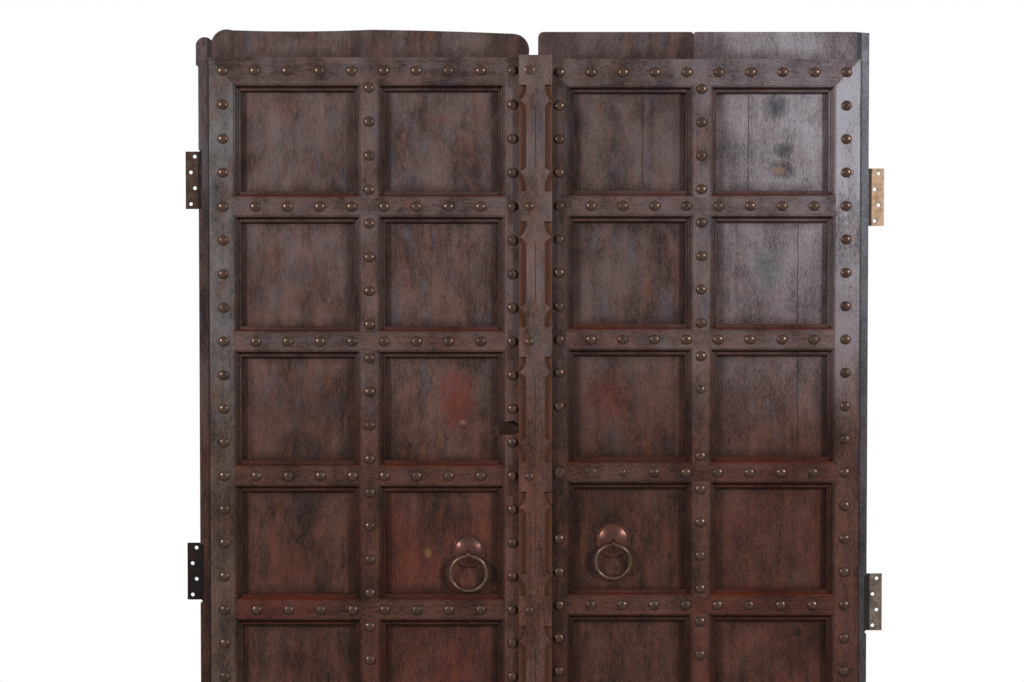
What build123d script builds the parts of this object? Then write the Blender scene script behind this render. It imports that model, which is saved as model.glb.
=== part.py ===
"""A two-leaf panelled temple door: boards, moulded face frame, domed studs, carved cover strip, rings."""

from build123d import *
from math import asin, degrees
import os

# Frame: X to the right, Y to the back, Z up, in millimetres. While the pieces are built, y = 0 is the
# front of the boards, z = 0 the foot of the leaves and x = 0 lies on the door's middle line. At the end
# everything moves together, so that the origin is the middle of the foot of the whole door.

# Boards behind the face frame
BOARD_T = 32.0
EDGE_BOARD_W = 24.0
LEFT_JOINT_X = -282.0
RIGHT_JOINT_X = 280.0

# Face frame of rails, stiles and muntins
FRAME_T = 16.0
STILE_FLAT_W = 42.0
MEETING_FLAT_W = 50.0
MUNTIN_FLAT_W = 29.0
RAIL_FLAT_W = 30.0
END_RAIL_FLAT_W = 46.0
TOP_REVEAL = 49.0
ROWS = 8

# What differs between the two leaves, which weren't laid out from the same rod
LEFT_EDGE_REVEAL = 21.0
LEFT_PANEL_W = 199.0
LEFT_PANEL_H = 182.0
LEFT_TOP_PANEL_H = 175.0
LEFT_BOTTOM_REVEAL = 24.0
RIGHT_EDGE_REVEAL = 18.0
RIGHT_PANEL_W = 196.5
RIGHT_PANEL_H = 179.6
RIGHT_TOP_PANEL_H = 171.0
RIGHT_BOTTOM_REVEAL = 42.0

# Moulded edge of the frame, from the flat down to the panel
GROOVE_W = 1.0
GROOVE_D = 1.4
OVOLO_W = 3.6
OVOLO_DROP = 3.0
HOLLOW_W = 4.4
HOLLOW_DROP = 3.8
BEAD_W = 3.0
BEAD_DROP = 1.0
ARC_BULGE = 0.72

# Gap between the leaves, and where its middle lies
LEAF_GAP = 8.0
GAP_MIDDLE_X = 3.5

# Carved cover strip on the left leaf, which laps over the right one
STRIP_OVERLAP = 24.0
STRIP_W = 58.0
STRIP_GROUND_T = 7.0
STRIP_RELIEF_T = 6.0
STRIP_CLEARANCE = 0.5
BLOCK_H = 52.0
SHAFT_W = 32.0
CUSP_INSET = 1.0
HANGING_CUSP_RISE = 28.0
HANGING_CUSP_RETURN = 10.5
STANDING_CUSP_RISE = 36.0
STANDING_CUSP_RETURN = 6.0
CUSP_LONG_OUT = 0.22
CUSP_LONG_UP = 0.62
CUSP_SHORT_OUT = 0.3
CUSP_SHORT_UP = 0.45
SHAFT_FLUTE_W = 2.0
SHAFT_FLUTE_D = 1.0
STRIP_STUD_INSET = 7.5

# Domed studs with square forged shanks
STUD_D = 18.5
STUD_H = 4.4
SMALL_STUD_D = 15.5
SMALL_STUD_H = 3.3
FLAT_STUD_D = 19.0
FLAT_STUD_H = 1.6
WORN_STUD_H = 2.0
BROKEN_STUD_TURN = 35.0
STUD_COLUMNS = 10
MEETING_STUD_INSET = 36.5
OUTER_STUD_INSET = 24.0
STUDS_PER_ROW = 4
SHANK_W = 5.0
SHANK_DEPTH_IN_BOARD = 24.0
SHANK_CLEARANCE = 0.15

# Ring handles on domed bosses, held by split pins
LEFT_BOSS_D = 58.0
RIGHT_BOSS_D = 61.0
BOSS_RIM_T = 2.2
BOSS_BEAD_W = 2.8
BOSS_BEAD_H = 1.3
BOSS_MARGIN_W = 5.5
BOSS_H = 9.5
LEFT_RING_D = 70.5
RIGHT_RING_D = 68.0
RING_WIRE_D = 6.6
EYE_WIRE_D = 3.6
EYE_HOLE_D = 9.6
EYE_STRANDS = 2
EYE_STRAND_PITCH = 3.2
EYE_SHANK_START = 1.0
RING_SEAT_GAP = 0.35
RING_BOSS_GAP = 0.5
RING_REST_GAP = 0.4
PIN_LEG_L = 20.0
LEFT_BOSS_X = -115.0
LEFT_BOSS_Z = 1101.5
RIGHT_BOSS_X = 139.5
RIGHT_BOSS_Z = 1121.0

# Butt hinges on the back edges
PLATE_L = 101.6
PLATE_T = 2.5
LEFT_PLATE_REACH = 28.0
RIGHT_PLATE_REACH = 32.0
LEAF_PLATE_W = 30.0
LEFT_MORTISE_D = 6.0
RIGHT_MORTISE_D = 5.0
HINGE_MORTISE_END = 1.0
KNUCKLE_R = 6.0
KNUCKLES = 5
KNUCKLE_GAP = 0.4
KNUCKLE_WEB_GAP = 0.5
HINGE_PIN_R = 3.0
HINGE_PIN_CLEARANCE = 0.05
PIN_HEAD_R = 4.5
PIN_HEAD_H = 2.0
PLATE_HOLE_R = 3.2
PLATE_SINK_R = 4.6
PLATE_SINK_DEPTH = 1.4
PLATE_HOLE_EDGE = 9.0
PLATE_HOLE_STEP = 7.0
PLATE_HOLE_PITCH = 28.0
PLATE_HOLES = 4
SCREW_HEAD_R = 4.4
SCREW_SHANK_R = 2.4
SCREW_L = 24.0
SCREW_CLEARANCE = 0.15
LEFT_HINGE_LOW_Z = 365.5
LEFT_HINGE_PITCH = 695.0
RIGHT_HINGE_LOW_Z = 285.5
RIGHT_HINGE_PITCH = 720.0
HINGE_LEVELS = ("low", "mid", "top")
STOPPED_MORTISE = ("right", "top")

# Wear and damage
BREAK_W = 40.0
BREAK_H = 26.0
BREAK_Z = 1320.0
BREAK_INTO_PANEL = 3.0
KNOB_OVERHANG = 4.0
KNOB_H = 50.0
WAVE = 2.0
TOP_ROUND = 0.4
TOP_SLOPE = 1.5
KNOB_CREST = 0.24
KNOB_JOINT = 0.36
SHOULDER_SHARE = 0.286
CORNER_SHARE = 0.26
QUARTER_ARC = 0.29

# Room beyond a face for a cut to run out into
RUN_OUT = 5.0

MOULD_W = GROOVE_W + OVOLO_W + HOLLOW_W + BEAD_W
RAIL_W = RAIL_FLAT_W + 2 * MOULD_W
MUNTIN_W = MUNTIN_FLAT_W + 2 * MOULD_W
END_RAIL_W = END_RAIL_FLAT_W + MOULD_W
STRIP_T = STRIP_GROUND_T + STRIP_RELIEF_T
FACE_Y = -FRAME_T
STRIP_FACE_Y = FACE_Y - STRIP_T


def prism(points, y_back, y_front):
    """A closed outline of (x, z) points, filled and run from y_back forward to y_front."""
    face = make_face(Polyline(*points, close=True))
    return extrude(Pos(0, y_back, 0) * (Plane.XZ * face), amount=y_back - y_front)


def box(x_0, x_1, y_0, y_1, z_0, z_1):
    """A box between two corners."""
    middle = ((x_0 + x_1) / 2, (y_0 + y_1) / 2, (z_0 + z_1) / 2)
    return Pos(*middle) * Box(abs(x_1 - x_0), abs(y_1 - y_0), abs(z_1 - z_0))


# Moulded bars. The section is drawn with its width along X and the face towards -Y, and run up Z.
def moulding_face():
    """Groove, ovolo, hollow and bead, from the edge of the flat at x = 0 to the panel at x = MOULD_W."""
    u = [0, GROOVE_W, GROOVE_W + OVOLO_W, GROOVE_W + OVOLO_W + HOLLOW_W, MOULD_W]
    v = [FRAME_T]
    for drop in (GROOVE_D, OVOLO_DROP, HOLLOW_DROP, BEAD_DROP):
        v.append(v[-1] - drop)
    ovolo = (u[1] + OVOLO_W * ARC_BULGE, -(v[2] + OVOLO_DROP * ARC_BULGE))
    hollow = (u[2] + HOLLOW_W * (1 - ARC_BULGE), -(v[3] + HOLLOW_DROP * (1 - ARC_BULGE)))
    bead = (u[3] + BEAD_W / 2, -(v[3] + BEAD_DROP))
    edges = [
        Line((u[0], 0), (u[0], -v[1])),
        Line((u[0], -v[1]), (u[1], -v[1])),
        ThreePointArc((u[1], -v[1]), ovolo, (u[2], -v[2])),
        ThreePointArc((u[2], -v[2]), hollow, (u[3], -v[3])),
        ThreePointArc((u[3], -v[3]), bead, (u[4], -v[4])),
        Line((u[4], -v[4]), (u[4], 0)),
        Line((u[4], 0), (u[0], 0)),
    ]
    return make_face(edges)


def bar_section(flat_w, left_moulded, right_moulded):
    """The flat, centred on x = 0, with a moulded edge on one side or both."""
    section = Pos(0, -FRAME_T / 2) * Rectangle(flat_w, FRAME_T)
    edge = Pos(flat_w / 2, 0) * moulding_face()
    if right_moulded:
        section = section + edge
    if left_moulded:
        section = section + mirror(edge, about=Plane.YZ)
    return section


def upright_bar(flat_w, left_moulded, right_moulded, z_0, z_1):
    """A moulded bar that stands from z_0 to z_1, its flat centred on x = 0."""
    bar = extrude(bar_section(flat_w, left_moulded, right_moulded), amount=z_1 - z_0, dir=(0, 0, 1))
    return Pos(0, 0, z_0) * bar


def level_bar(flat_w, lower_moulded, upper_moulded, x_0, x_1):
    """A moulded bar that lies from x_0 to x_1, its flat centred on z = 0."""
    bar = extrude(bar_section(flat_w, upper_moulded, lower_moulded), amount=x_1 - x_0, dir=(0, 0, 1))
    return Pos(x_0, 0, 0) * (Rot(0, 90, 0) * bar)


# Stud and nail pieces. Each is made with its seat at z = 0 and its head up, then turned to face front.
def cap(diameter, height):
    """A spherical cap on z = 0."""
    radius = diameter / 2
    bulge = (radius**2 + height**2) / (2 * height)
    half = (bulge**2 - (height / 2 - height + bulge) ** 2) ** 0.5
    edges = [
        Line((0, 0), (radius, 0)),
        ThreePointArc((radius, 0), (half, height / 2), (0, height)),
        Line((0, height), (0, 0)),
    ]
    return revolve(Plane.XZ * make_face(edges), Axis.Z)


def stud_head(kind):
    """The head of one stud, by its state."""
    if kind == "flat":
        return extrude(Circle(FLAT_STUD_D / 2), amount=FLAT_STUD_H)
    if kind == "small":
        return cap(SMALL_STUD_D, SMALL_STUD_H)
    if kind == "worn":
        return cap(STUD_D, WORN_STUD_H)
    if kind == "broken":
        head = cap(SMALL_STUD_D, SMALL_STUD_H)
        chip = Rot(0, BROKEN_STUD_TURN, 0) * Box(SMALL_STUD_D, STUD_D, SMALL_STUD_H)
        chip = Pos(SMALL_STUD_D / 2, 0, SMALL_STUD_H) * chip
        return head - chip
    return cap(STUD_D, STUD_H)


def shank_length(seat_y):
    """Length of a shank from its seat to its blind end in the board."""
    return SHANK_DEPTH_IN_BOARD - seat_y


def stud(place):
    """One stud: head and square shank in one forging."""
    x, z, seat_y, kind = place
    length = shank_length(seat_y)
    head = Pos(x, seat_y, z) * (Rot(90, 0, 0) * stud_head(kind))
    shank = box(x - SHANK_W / 2, x + SHANK_W / 2, seat_y, seat_y + length, z - SHANK_W / 2, z + SHANK_W / 2)
    return head + shank


def stud_hole(place):
    """The square hole that one shank is driven into, open at the front."""
    x, z, seat_y, _ = place
    half = SHANK_W / 2 + SHANK_CLEARANCE
    end = seat_y + shank_length(seat_y) + SHANK_CLEARANCE
    return box(x - half, x + half, seat_y - RUN_OUT, end, z - half, z + half)


def drilled(piece, places):
    """The piece with a hole for every stud that stands on it or passes through it."""
    limits = piece.bounding_box()
    reach = SHANK_W
    holes = [
        stud_hole(place)
        for place in places
        if limits.min.X - reach < place[0] < limits.max.X + reach
        and limits.min.Z - reach < place[1] < limits.max.Z + reach
    ]
    return piece - holes if holes else piece


# One leaf. Sizes that depend on the side come in as values; side is -1 for left and +1 for right.
class Leaf:
    """Where everything on one leaf lies, worked out from the meeting edge outwards and the foot upwards."""

    def __init__(self, name, side, panel, reveals, joint_x, mortise_d, plate_reach):
        panel_w, panel_h, top_panel_h = panel
        edge_reveal, bottom_reveal = reveals
        self.name = name
        self.side = side
        self.joint_x = joint_x
        self.mortise_d = mortise_d
        self.plate_reach = plate_reach
        self.meeting_x = GAP_MIDDLE_X + side * LEAF_GAP / 2
        self.meeting_flat_x = self.meeting_x + side * MEETING_FLAT_W
        self.muntin_x = self.meeting_flat_x + side * (MOULD_W + panel_w + MUNTIN_W / 2)
        self.stile_flat_x = self.muntin_x + side * (MUNTIN_W / 2 + panel_w + MOULD_W)
        self.frame_x = self.stile_flat_x + side * STILE_FLAT_W
        self.edge_x = self.frame_x + side * edge_reveal
        self.foot_z = bottom_reveal
        first = bottom_reveal + END_RAIL_W + panel_h + RAIL_W / 2
        self.rail_z = [first + row * (panel_h + RAIL_W) for row in range(ROWS - 1)]
        self.top_z = self.rail_z[-1] + RAIL_W / 2 + top_panel_h + END_RAIL_W
        self.height = self.top_z + TOP_REVEAL
        foot_line = self.foot_z + END_RAIL_FLAT_W / 2
        head_line = self.top_z - END_RAIL_FLAT_W / 2
        self.lines = [foot_line] + self.rail_z + [head_line]
        outer = self.frame_x - side * OUTER_STUD_INSET
        inner = self.meeting_x + side * MEETING_STUD_INSET
        step = (outer - inner) / (STUD_COLUMNS - 1)
        self.columns = [inner + step * column for column in range(STUD_COLUMNS)]


LEFT = Leaf(
    "left",
    -1,
    (LEFT_PANEL_W, LEFT_PANEL_H, LEFT_TOP_PANEL_H),
    (LEFT_EDGE_REVEAL, LEFT_BOTTOM_REVEAL),
    LEFT_JOINT_X,
    LEFT_MORTISE_D,
    LEFT_PLATE_REACH,
)
RIGHT = Leaf(
    "right",
    1,
    (RIGHT_PANEL_W, RIGHT_PANEL_H, RIGHT_TOP_PANEL_H),
    (RIGHT_EDGE_REVEAL, RIGHT_BOTTOM_REVEAL),
    RIGHT_JOINT_X,
    RIGHT_MORTISE_D,
    RIGHT_PLATE_REACH,
)


def stile(leaf, meeting):
    """An outer or meeting stile: flat with one moulded edge, which the rails' mitred ends interrupt."""
    flat_w = MEETING_FLAT_W if meeting else STILE_FLAT_W
    outer_x = leaf.meeting_x if meeting else leaf.frame_x
    inward = leaf.side if meeting else -leaf.side
    flat_x = outer_x + inward * flat_w
    panel_x = flat_x + inward * MOULD_W
    points = [(outer_x, leaf.foot_z), (flat_x, leaf.foot_z + END_RAIL_FLAT_W)]
    points.append((panel_x, leaf.foot_z + END_RAIL_W))
    for z in leaf.rail_z:
        points.append((panel_x, z - RAIL_W / 2))
        points.append((flat_x, z - RAIL_FLAT_W / 2))
        points.append((flat_x, z + RAIL_FLAT_W / 2))
        points.append((panel_x, z + RAIL_W / 2))
    points.append((panel_x, leaf.top_z - END_RAIL_W))
    points.append((flat_x, leaf.top_z - END_RAIL_FLAT_W))
    points.append((outer_x, leaf.top_z))
    bar = upright_bar(flat_w, inward < 0, inward > 0, leaf.foot_z, leaf.top_z)
    bar = Pos((outer_x + flat_x) / 2, 0, 0) * bar
    return bar & prism(points, RUN_OUT, FACE_Y - RUN_OUT)


def end_rail(leaf, top):
    """The top or bottom rail, mitred into both stiles and notched for the end of the muntin."""
    out_z = leaf.top_z if top else leaf.foot_z
    down = -1 if top else 1
    flat_z = out_z + down * END_RAIL_FLAT_W
    panel_z = flat_z + down * MOULD_W
    s = leaf.side
    points = [
        (leaf.meeting_x, out_z),
        (leaf.meeting_flat_x, flat_z),
        (leaf.meeting_flat_x + s * MOULD_W, panel_z),
        (leaf.muntin_x - s * MUNTIN_W / 2, panel_z),
        (leaf.muntin_x - s * MUNTIN_FLAT_W / 2, flat_z),
        (leaf.muntin_x + s * MUNTIN_FLAT_W / 2, flat_z),
        (leaf.muntin_x + s * MUNTIN_W / 2, panel_z),
        (leaf.stile_flat_x - s * MOULD_W, panel_z),
        (leaf.stile_flat_x, flat_z),
        (leaf.frame_x, out_z),
    ]
    low_x = min(leaf.meeting_x, leaf.frame_x)
    high_x = max(leaf.meeting_x, leaf.frame_x)
    bar = level_bar(END_RAIL_FLAT_W, top, not top, low_x, high_x)
    bar = Pos(0, 0, (out_z + flat_z) / 2) * bar
    return bar & prism(points, RUN_OUT, FACE_Y - RUN_OUT)


def rail(leaf, z):
    """One rail between the stiles: pointed ends, and a notch on each side for the muntins' ends."""
    s = leaf.side
    flat = RAIL_FLAT_W / 2
    full = RAIL_W / 2
    upper = [
        (leaf.meeting_flat_x, flat),
        (leaf.meeting_flat_x + s * MOULD_W, full),
        (leaf.muntin_x - s * MUNTIN_W / 2, full),
        (leaf.muntin_x - s * MUNTIN_FLAT_W / 2, flat),
        (leaf.muntin_x + s * MUNTIN_FLAT_W / 2, flat),
        (leaf.muntin_x + s * MUNTIN_W / 2, full),
        (leaf.stile_flat_x - s * MOULD_W, full),
        (leaf.stile_flat_x, flat),
    ]
    points = [(x, z + up) for x, up in upper] + [(x, z - up) for x, up in reversed(upper)]
    low_x = min(leaf.meeting_flat_x, leaf.stile_flat_x)
    high_x = max(leaf.meeting_flat_x, leaf.stile_flat_x)
    bar = Pos(0, 0, z) * level_bar(RAIL_FLAT_W, True, True, low_x, high_x)
    return bar & prism(points, RUN_OUT, FACE_Y - RUN_OUT)


def muntin(leaf, z_0, z_1):
    """One short upright between two rails' flats, its moulded edges mitred at both ends."""
    flat = MUNTIN_FLAT_W / 2
    full = MUNTIN_W / 2
    x = leaf.muntin_x
    points = [
        (x - flat, z_0),
        (x + flat, z_0),
        (x + full, z_0 + MOULD_W),
        (x + full, z_1 - MOULD_W),
        (x + flat, z_1),
        (x - flat, z_1),
        (x - full, z_1 - MOULD_W),
        (x - full, z_0 + MOULD_W),
    ]
    bar = Pos(x, 0, 0) * upright_bar(MUNTIN_FLAT_W, True, True, z_0, z_1)
    return bar & prism(points, RUN_OUT, FACE_Y - RUN_OUT)


def muntin_spans(leaf):
    """From and to of each muntin, between the edges of the flats above and below it."""
    bottoms = [leaf.foot_z + END_RAIL_FLAT_W] + [z + RAIL_FLAT_W / 2 for z in leaf.rail_z]
    tops = [z - RAIL_FLAT_W / 2 for z in leaf.rail_z] + [leaf.top_z - END_RAIL_FLAT_W]
    return list(zip(bottoms, tops))


# Boards. Their upper edges are worn, and the left leaf's have lost their corners.
def left_boards():
    """Edge board with a broken knob for a top, outer board, and inner board with a lost corner."""
    top = LEFT.height
    edge = LEFT.edge_x
    edge_joint = edge + EDGE_BOARD_W
    inner = LEFT.meeting_x
    shoulder = top - KNOB_H - TOP_REVEAL * SHOULDER_SHARE
    knob = top - KNOB_H / 2
    edge_lines = [
        Line((edge_joint, 0), (edge, 0)),
        Line((edge, 0), (edge, shoulder)),
        Line((edge, shoulder), (edge - KNOB_OVERHANG, shoulder + KNOB_OVERHANG)),
        Line((edge - KNOB_OVERHANG, shoulder + KNOB_OVERHANG), (edge - KNOB_OVERHANG, knob)),
        ThreePointArc(
            (edge - KNOB_OVERHANG, knob),
            (edge + EDGE_BOARD_W * TOP_ROUND, top - KNOB_H * KNOB_CREST),
            (edge_joint, top - KNOB_H * KNOB_JOINT),
        ),
        Line((edge_joint, top - KNOB_H * KNOB_JOINT), (edge_joint, 0)),
    ]
    outer_lines = [
        Line((LEFT.joint_x, 0), (edge_joint, 0)),
        Line((edge_joint, 0), (edge_joint, top - KNOB_H * KNOB_JOINT)),
        ThreePointArc(
            (edge_joint, top - KNOB_H * KNOB_JOINT),
            (edge_joint + EDGE_BOARD_W * TOP_ROUND, top - WAVE * 2),
            (edge_joint + EDGE_BOARD_W * TOP_SLOPE, top),
        ),
        ThreePointArc(
            (edge_joint + EDGE_BOARD_W * TOP_SLOPE, top),
            ((edge_joint + LEFT.joint_x) / 2, top - WAVE),
            (LEFT.joint_x, top + WAVE / 2),
        ),
        Line((LEFT.joint_x, top + WAVE / 2), (LEFT.joint_x, 0)),
    ]
    corner_z = top - TOP_REVEAL * CORNER_SHARE
    low_corner_z = top - TOP_REVEAL
    inner_lines = [
        Line((inner, 0), (LEFT.joint_x, 0)),
        Line((LEFT.joint_x, 0), (LEFT.joint_x, top + WAVE / 2)),
        ThreePointArc(
            (LEFT.joint_x, top + WAVE / 2),
            ((LEFT.joint_x + inner) / 2, top - WAVE),
            (inner - EDGE_BOARD_W * TOP_SLOPE, top - WAVE * 3),
        ),
        ThreePointArc(
            (inner - EDGE_BOARD_W * TOP_SLOPE, top - WAVE * 3),
            (inner - EDGE_BOARD_W * TOP_SLOPE / 2, corner_z),
            (inner - EDGE_BOARD_W * TOP_ROUND, low_corner_z + KNOB_OVERHANG),
        ),
        Line(
            (inner - EDGE_BOARD_W * TOP_ROUND, low_corner_z + KNOB_OVERHANG),
            (inner, low_corner_z - KNOB_OVERHANG),
        ),
        Line((inner, low_corner_z - KNOB_OVERHANG), (inner, 0)),
    ]
    return [board(lines) for lines in (edge_lines, outer_lines, inner_lines)]


def right_boards():
    """Edge, outer and inner board, nearly level on top, with a small notch at the joint."""
    top = RIGHT.height
    edge = RIGHT.edge_x
    edge_joint = edge - EDGE_BOARD_W
    inner = RIGHT.meeting_x
    round_w = EDGE_BOARD_W * TOP_ROUND
    edge_lines = [
        Line((edge_joint, 0), (edge, 0)),
        Line((edge, 0), (edge, top - WAVE)),
        Line((edge, top - WAVE), (edge_joint, top)),
        Line((edge_joint, top), (edge_joint, 0)),
    ]
    outer_lines = [
        Line((RIGHT.joint_x, 0), (edge_joint, 0)),
        Line((edge_joint, 0), (edge_joint, top)),
        Line((edge_joint, top), (RIGHT.joint_x + WAVE, top)),
        Line((RIGHT.joint_x + WAVE, top), (RIGHT.joint_x, top - WAVE * 2)),
        Line((RIGHT.joint_x, top - WAVE * 2), (RIGHT.joint_x, 0)),
    ]
    inner_lines = [
        Line((inner, 0), (RIGHT.joint_x, 0)),
        Line((RIGHT.joint_x, 0), (RIGHT.joint_x, top - WAVE * 2)),
        Line((RIGHT.joint_x, top - WAVE * 2), (RIGHT.joint_x - WAVE * 2, top)),
        Line((RIGHT.joint_x - WAVE * 2, top), (inner + round_w, top)),
        ThreePointArc(
            (inner + round_w, top),
            (inner + round_w * QUARTER_ARC, top - round_w * QUARTER_ARC),
            (inner, top - round_w),
        ),
        Line((inner, top - round_w), (inner, 0)),
    ]
    return [board(lines) for lines in (edge_lines, outer_lines, inner_lines)]


def board(lines):
    """A board from the outline of its face, with its front at y = 0."""
    return extrude(Pos(0, BOARD_T, 0) * (Plane.XZ * make_face(lines)), amount=BOARD_T)


# Break in the left meeting stile, knocked out down to the panel, with a splinter left standing
def meeting_stile_break():
    """The rough-sided wood that is missing from the left meeting stile."""
    x_0 = LEFT.meeting_flat_x - MOULD_W - BREAK_INTO_PANEL
    x_1 = x_0 + BREAK_W + BREAK_INTO_PANEL
    z_0 = BREAK_Z - BREAK_H / 2
    z_1 = BREAK_Z + BREAK_H / 2
    points = [
        (x_0, z_0 - BREAK_H * 0.1),
        (x_0 + BREAK_W * 0.35, z_0 + BREAK_H * 0.05),
        (x_0 + BREAK_W * 0.7, z_0),
        (x_1 - BREAK_W * 0.05, z_0 + BREAK_H * 0.2),
        (x_1, z_0 + BREAK_H * 0.45),
        (x_1 - BREAK_W * 0.12, z_1 - BREAK_H * 0.25),
        (x_0 + BREAK_W * 0.75, z_1),
        (x_0 + BREAK_W * 0.4, z_1 - BREAK_H * 0.1),
        (x_0, z_1 + BREAK_H * 0.08),
    ]
    splinter = [
        (x_1 + BREAK_W * 0.1, z_0 + BREAK_H * 0.2),
        (x_1 + BREAK_W * 0.1, z_0 + BREAK_H * 0.7),
        (x_1 - BREAK_W * 0.25, z_0 + BREAK_H * 0.55),
        (x_1 - BREAK_W * 0.3, z_0 + BREAK_H * 0.3),
    ]
    return prism(points, RUN_OUT, FACE_Y - RUN_OUT) - prism(splinter, RUN_OUT, FACE_Y / 2)


# Carved cover strip
def cusp_side(x_middle, out, z_block, up, cusp_rise, cusp_return):
    """One carved side between a block and the plain shaft: a long hollow out to a point, then a short one."""
    shaft = x_middle + out * SHAFT_W / 2
    tip = x_middle + out * (STRIP_W / 2 - CUSP_INSET)
    spread = tip - shaft
    z_tip = z_block + up * cusp_rise
    z_end = z_tip + up * cusp_return
    long_middle = (shaft + spread * CUSP_LONG_OUT, z_block + up * cusp_rise * CUSP_LONG_UP)
    short_middle = (shaft + spread * CUSP_SHORT_OUT, z_tip + up * cusp_return * CUSP_SHORT_UP)
    return [
        ThreePointArc((shaft, z_block), long_middle, (tip, z_tip)),
        ThreePointArc((tip, z_tip), short_middle, (shaft, z_end)),
    ]


def cover_strip():
    """Ground, blocks over the rails, and between them a shaft with a pointed cusp near each block."""
    right_x = RIGHT.meeting_x + STRIP_OVERLAP
    left_x = right_x - STRIP_W
    middle = (left_x + right_x) / 2
    z_0 = LEFT.lines[0] - BLOCK_H / 2
    z_1 = LEFT.lines[-1] + BLOCK_H / 2
    strip = box(left_x, right_x, FACE_Y - STRIP_GROUND_T, FACE_Y, z_0, z_1)
    back_y = FACE_Y - STRIP_GROUND_T
    for z in LEFT.lines:
        strip = strip + box(left_x, right_x, STRIP_FACE_Y, back_y, z - BLOCK_H / 2, z + BLOCK_H / 2)
    for below, above in zip(LEFT.lines, LEFT.lines[1:]):
        z_low = below + BLOCK_H / 2
        z_high = above - BLOCK_H / 2
        standing = (STANDING_CUSP_RISE, STANDING_CUSP_RETURN)
        hanging = (HANGING_CUSP_RISE, HANGING_CUSP_RETURN)
        right_low = cusp_side(middle, 1, z_low, 1, *standing)
        right_high = cusp_side(middle, 1, z_high, -1, *hanging)
        left_low = cusp_side(middle, -1, z_low, 1, *standing)
        left_high = cusp_side(middle, -1, z_high, -1, *hanging)
        shaft_r = middle + SHAFT_W / 2
        shaft_l = middle - SHAFT_W / 2
        shaft_low = z_low + sum(standing)
        shaft_high = z_high - sum(hanging)
        edges = [
            Line((shaft_l, z_low), (shaft_r, z_low)),
            *right_low,
            Line((shaft_r, shaft_low), (shaft_r, shaft_high)),
            *right_high,
            Line((shaft_r, z_high), (shaft_l, z_high)),
            *left_high,
            Line((shaft_l, shaft_high), (shaft_l, shaft_low)),
            *left_low,
        ]
        relief = extrude(Pos(0, back_y, 0) * (Plane.XZ * make_face(edges)), amount=STRIP_RELIEF_T)
        strip = strip + relief
        flute_x = SHAFT_FLUTE_W / 2
        floor_y = STRIP_FACE_Y + SHAFT_FLUTE_D
        front_y = STRIP_FACE_Y - RUN_OUT
        strip = strip - box(middle - flute_x, middle + flute_x, front_y, floor_y, shaft_low, shaft_high)
    lap_y = FACE_Y - STRIP_CLEARANCE
    lap = box(GAP_MIDDLE_X, right_x + RUN_OUT, lap_y, FACE_Y + RUN_OUT, z_0 - RUN_OUT, z_1 + RUN_OUT)
    return strip - lap


# Where the studs stand: (x, z, seat_y, state)
def leaf_studs(leaf, odd):
    """Studs on the stiles, rails and muntins of one leaf; odd names those that aren't a plain dome."""
    places = []
    stile_z = []
    for below, above in zip(leaf.lines, leaf.lines[1:]):
        for step in range(STUDS_PER_ROW):
            stile_z.append(below + (above - below) * step / STUDS_PER_ROW)
    stile_z.append(leaf.lines[-1])
    count = len(stile_z)
    for column in (0, STUD_COLUMNS - 1):
        for index, z in enumerate(stile_z):
            from_top = count - 1 - index
            places.append((leaf.columns[column], z, FACE_Y, odd.get(("stile", column, from_top), "dome")))
    for index, z in enumerate(leaf.lines):
        from_top = len(leaf.lines) - 1 - index
        for column in range(1, STUD_COLUMNS - 1):
            places.append((leaf.columns[column], z, FACE_Y, odd.get(("rail", column, from_top), "dome")))
    for row, (below, above) in enumerate(zip(leaf.lines, leaf.lines[1:])):
        from_top = ROWS - 1 - row
        for step in range(STUDS_PER_ROW):
            z = below + (above - below) * (step + 0.5) / STUDS_PER_ROW
            kind = odd.get(("muntin", from_top, STUDS_PER_ROW - 1 - step), "dome")
            places.append((leaf.muntin_x, z, FACE_Y, kind))
    return [place for place in places if place[3] != "missing"]


# Column 0 is the meeting stile. Rails and studs are counted from the top, from 0.
RIGHT_ODD = {
    ("stile", 0, 11): "missing",
    ("stile", 0, 12): "flat",
    ("stile", 0, 13): "missing",
    ("rail", 1, 3): "flat",
    ("rail", 2, 3): "broken",
    ("muntin", 2, 1): "small",
    ("muntin", 2, 2): "missing",
}
STRIP_X = LEFT.meeting_x - STRIP_STUD_INSET
LEFT_STUDS = leaf_studs(LEFT, {})
RIGHT_STUDS = leaf_studs(RIGHT, RIGHT_ODD)
STRIP_STUDS = [(STRIP_X, z, STRIP_FACE_Y, "small") for z in LEFT.lines[:-1]]
STRIP_STUDS.append((STRIP_X, LEFT.lines[-1], STRIP_FACE_Y, "worn"))


# Ring handles. The eye of the split pin is two strands of wire forged side by side. It droops below the
# shank, which runs into the top of it, and its back lies in a slot in the boss.
EYE_R = (EYE_HOLE_D + EYE_WIRE_D) / 2
EYE_Y = -(BOSS_H + RING_BOSS_GAP + RING_WIRE_D / 2)
EYE_DROP = EYE_R
RING_DROP = EYE_DROP + (EYE_HOLE_D - RING_WIRE_D) / 2 - RING_SEAT_GAP
PIN_HALF_W = (EYE_WIRE_D + (EYE_STRANDS - 1) * EYE_STRAND_PITCH) / 2


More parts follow.
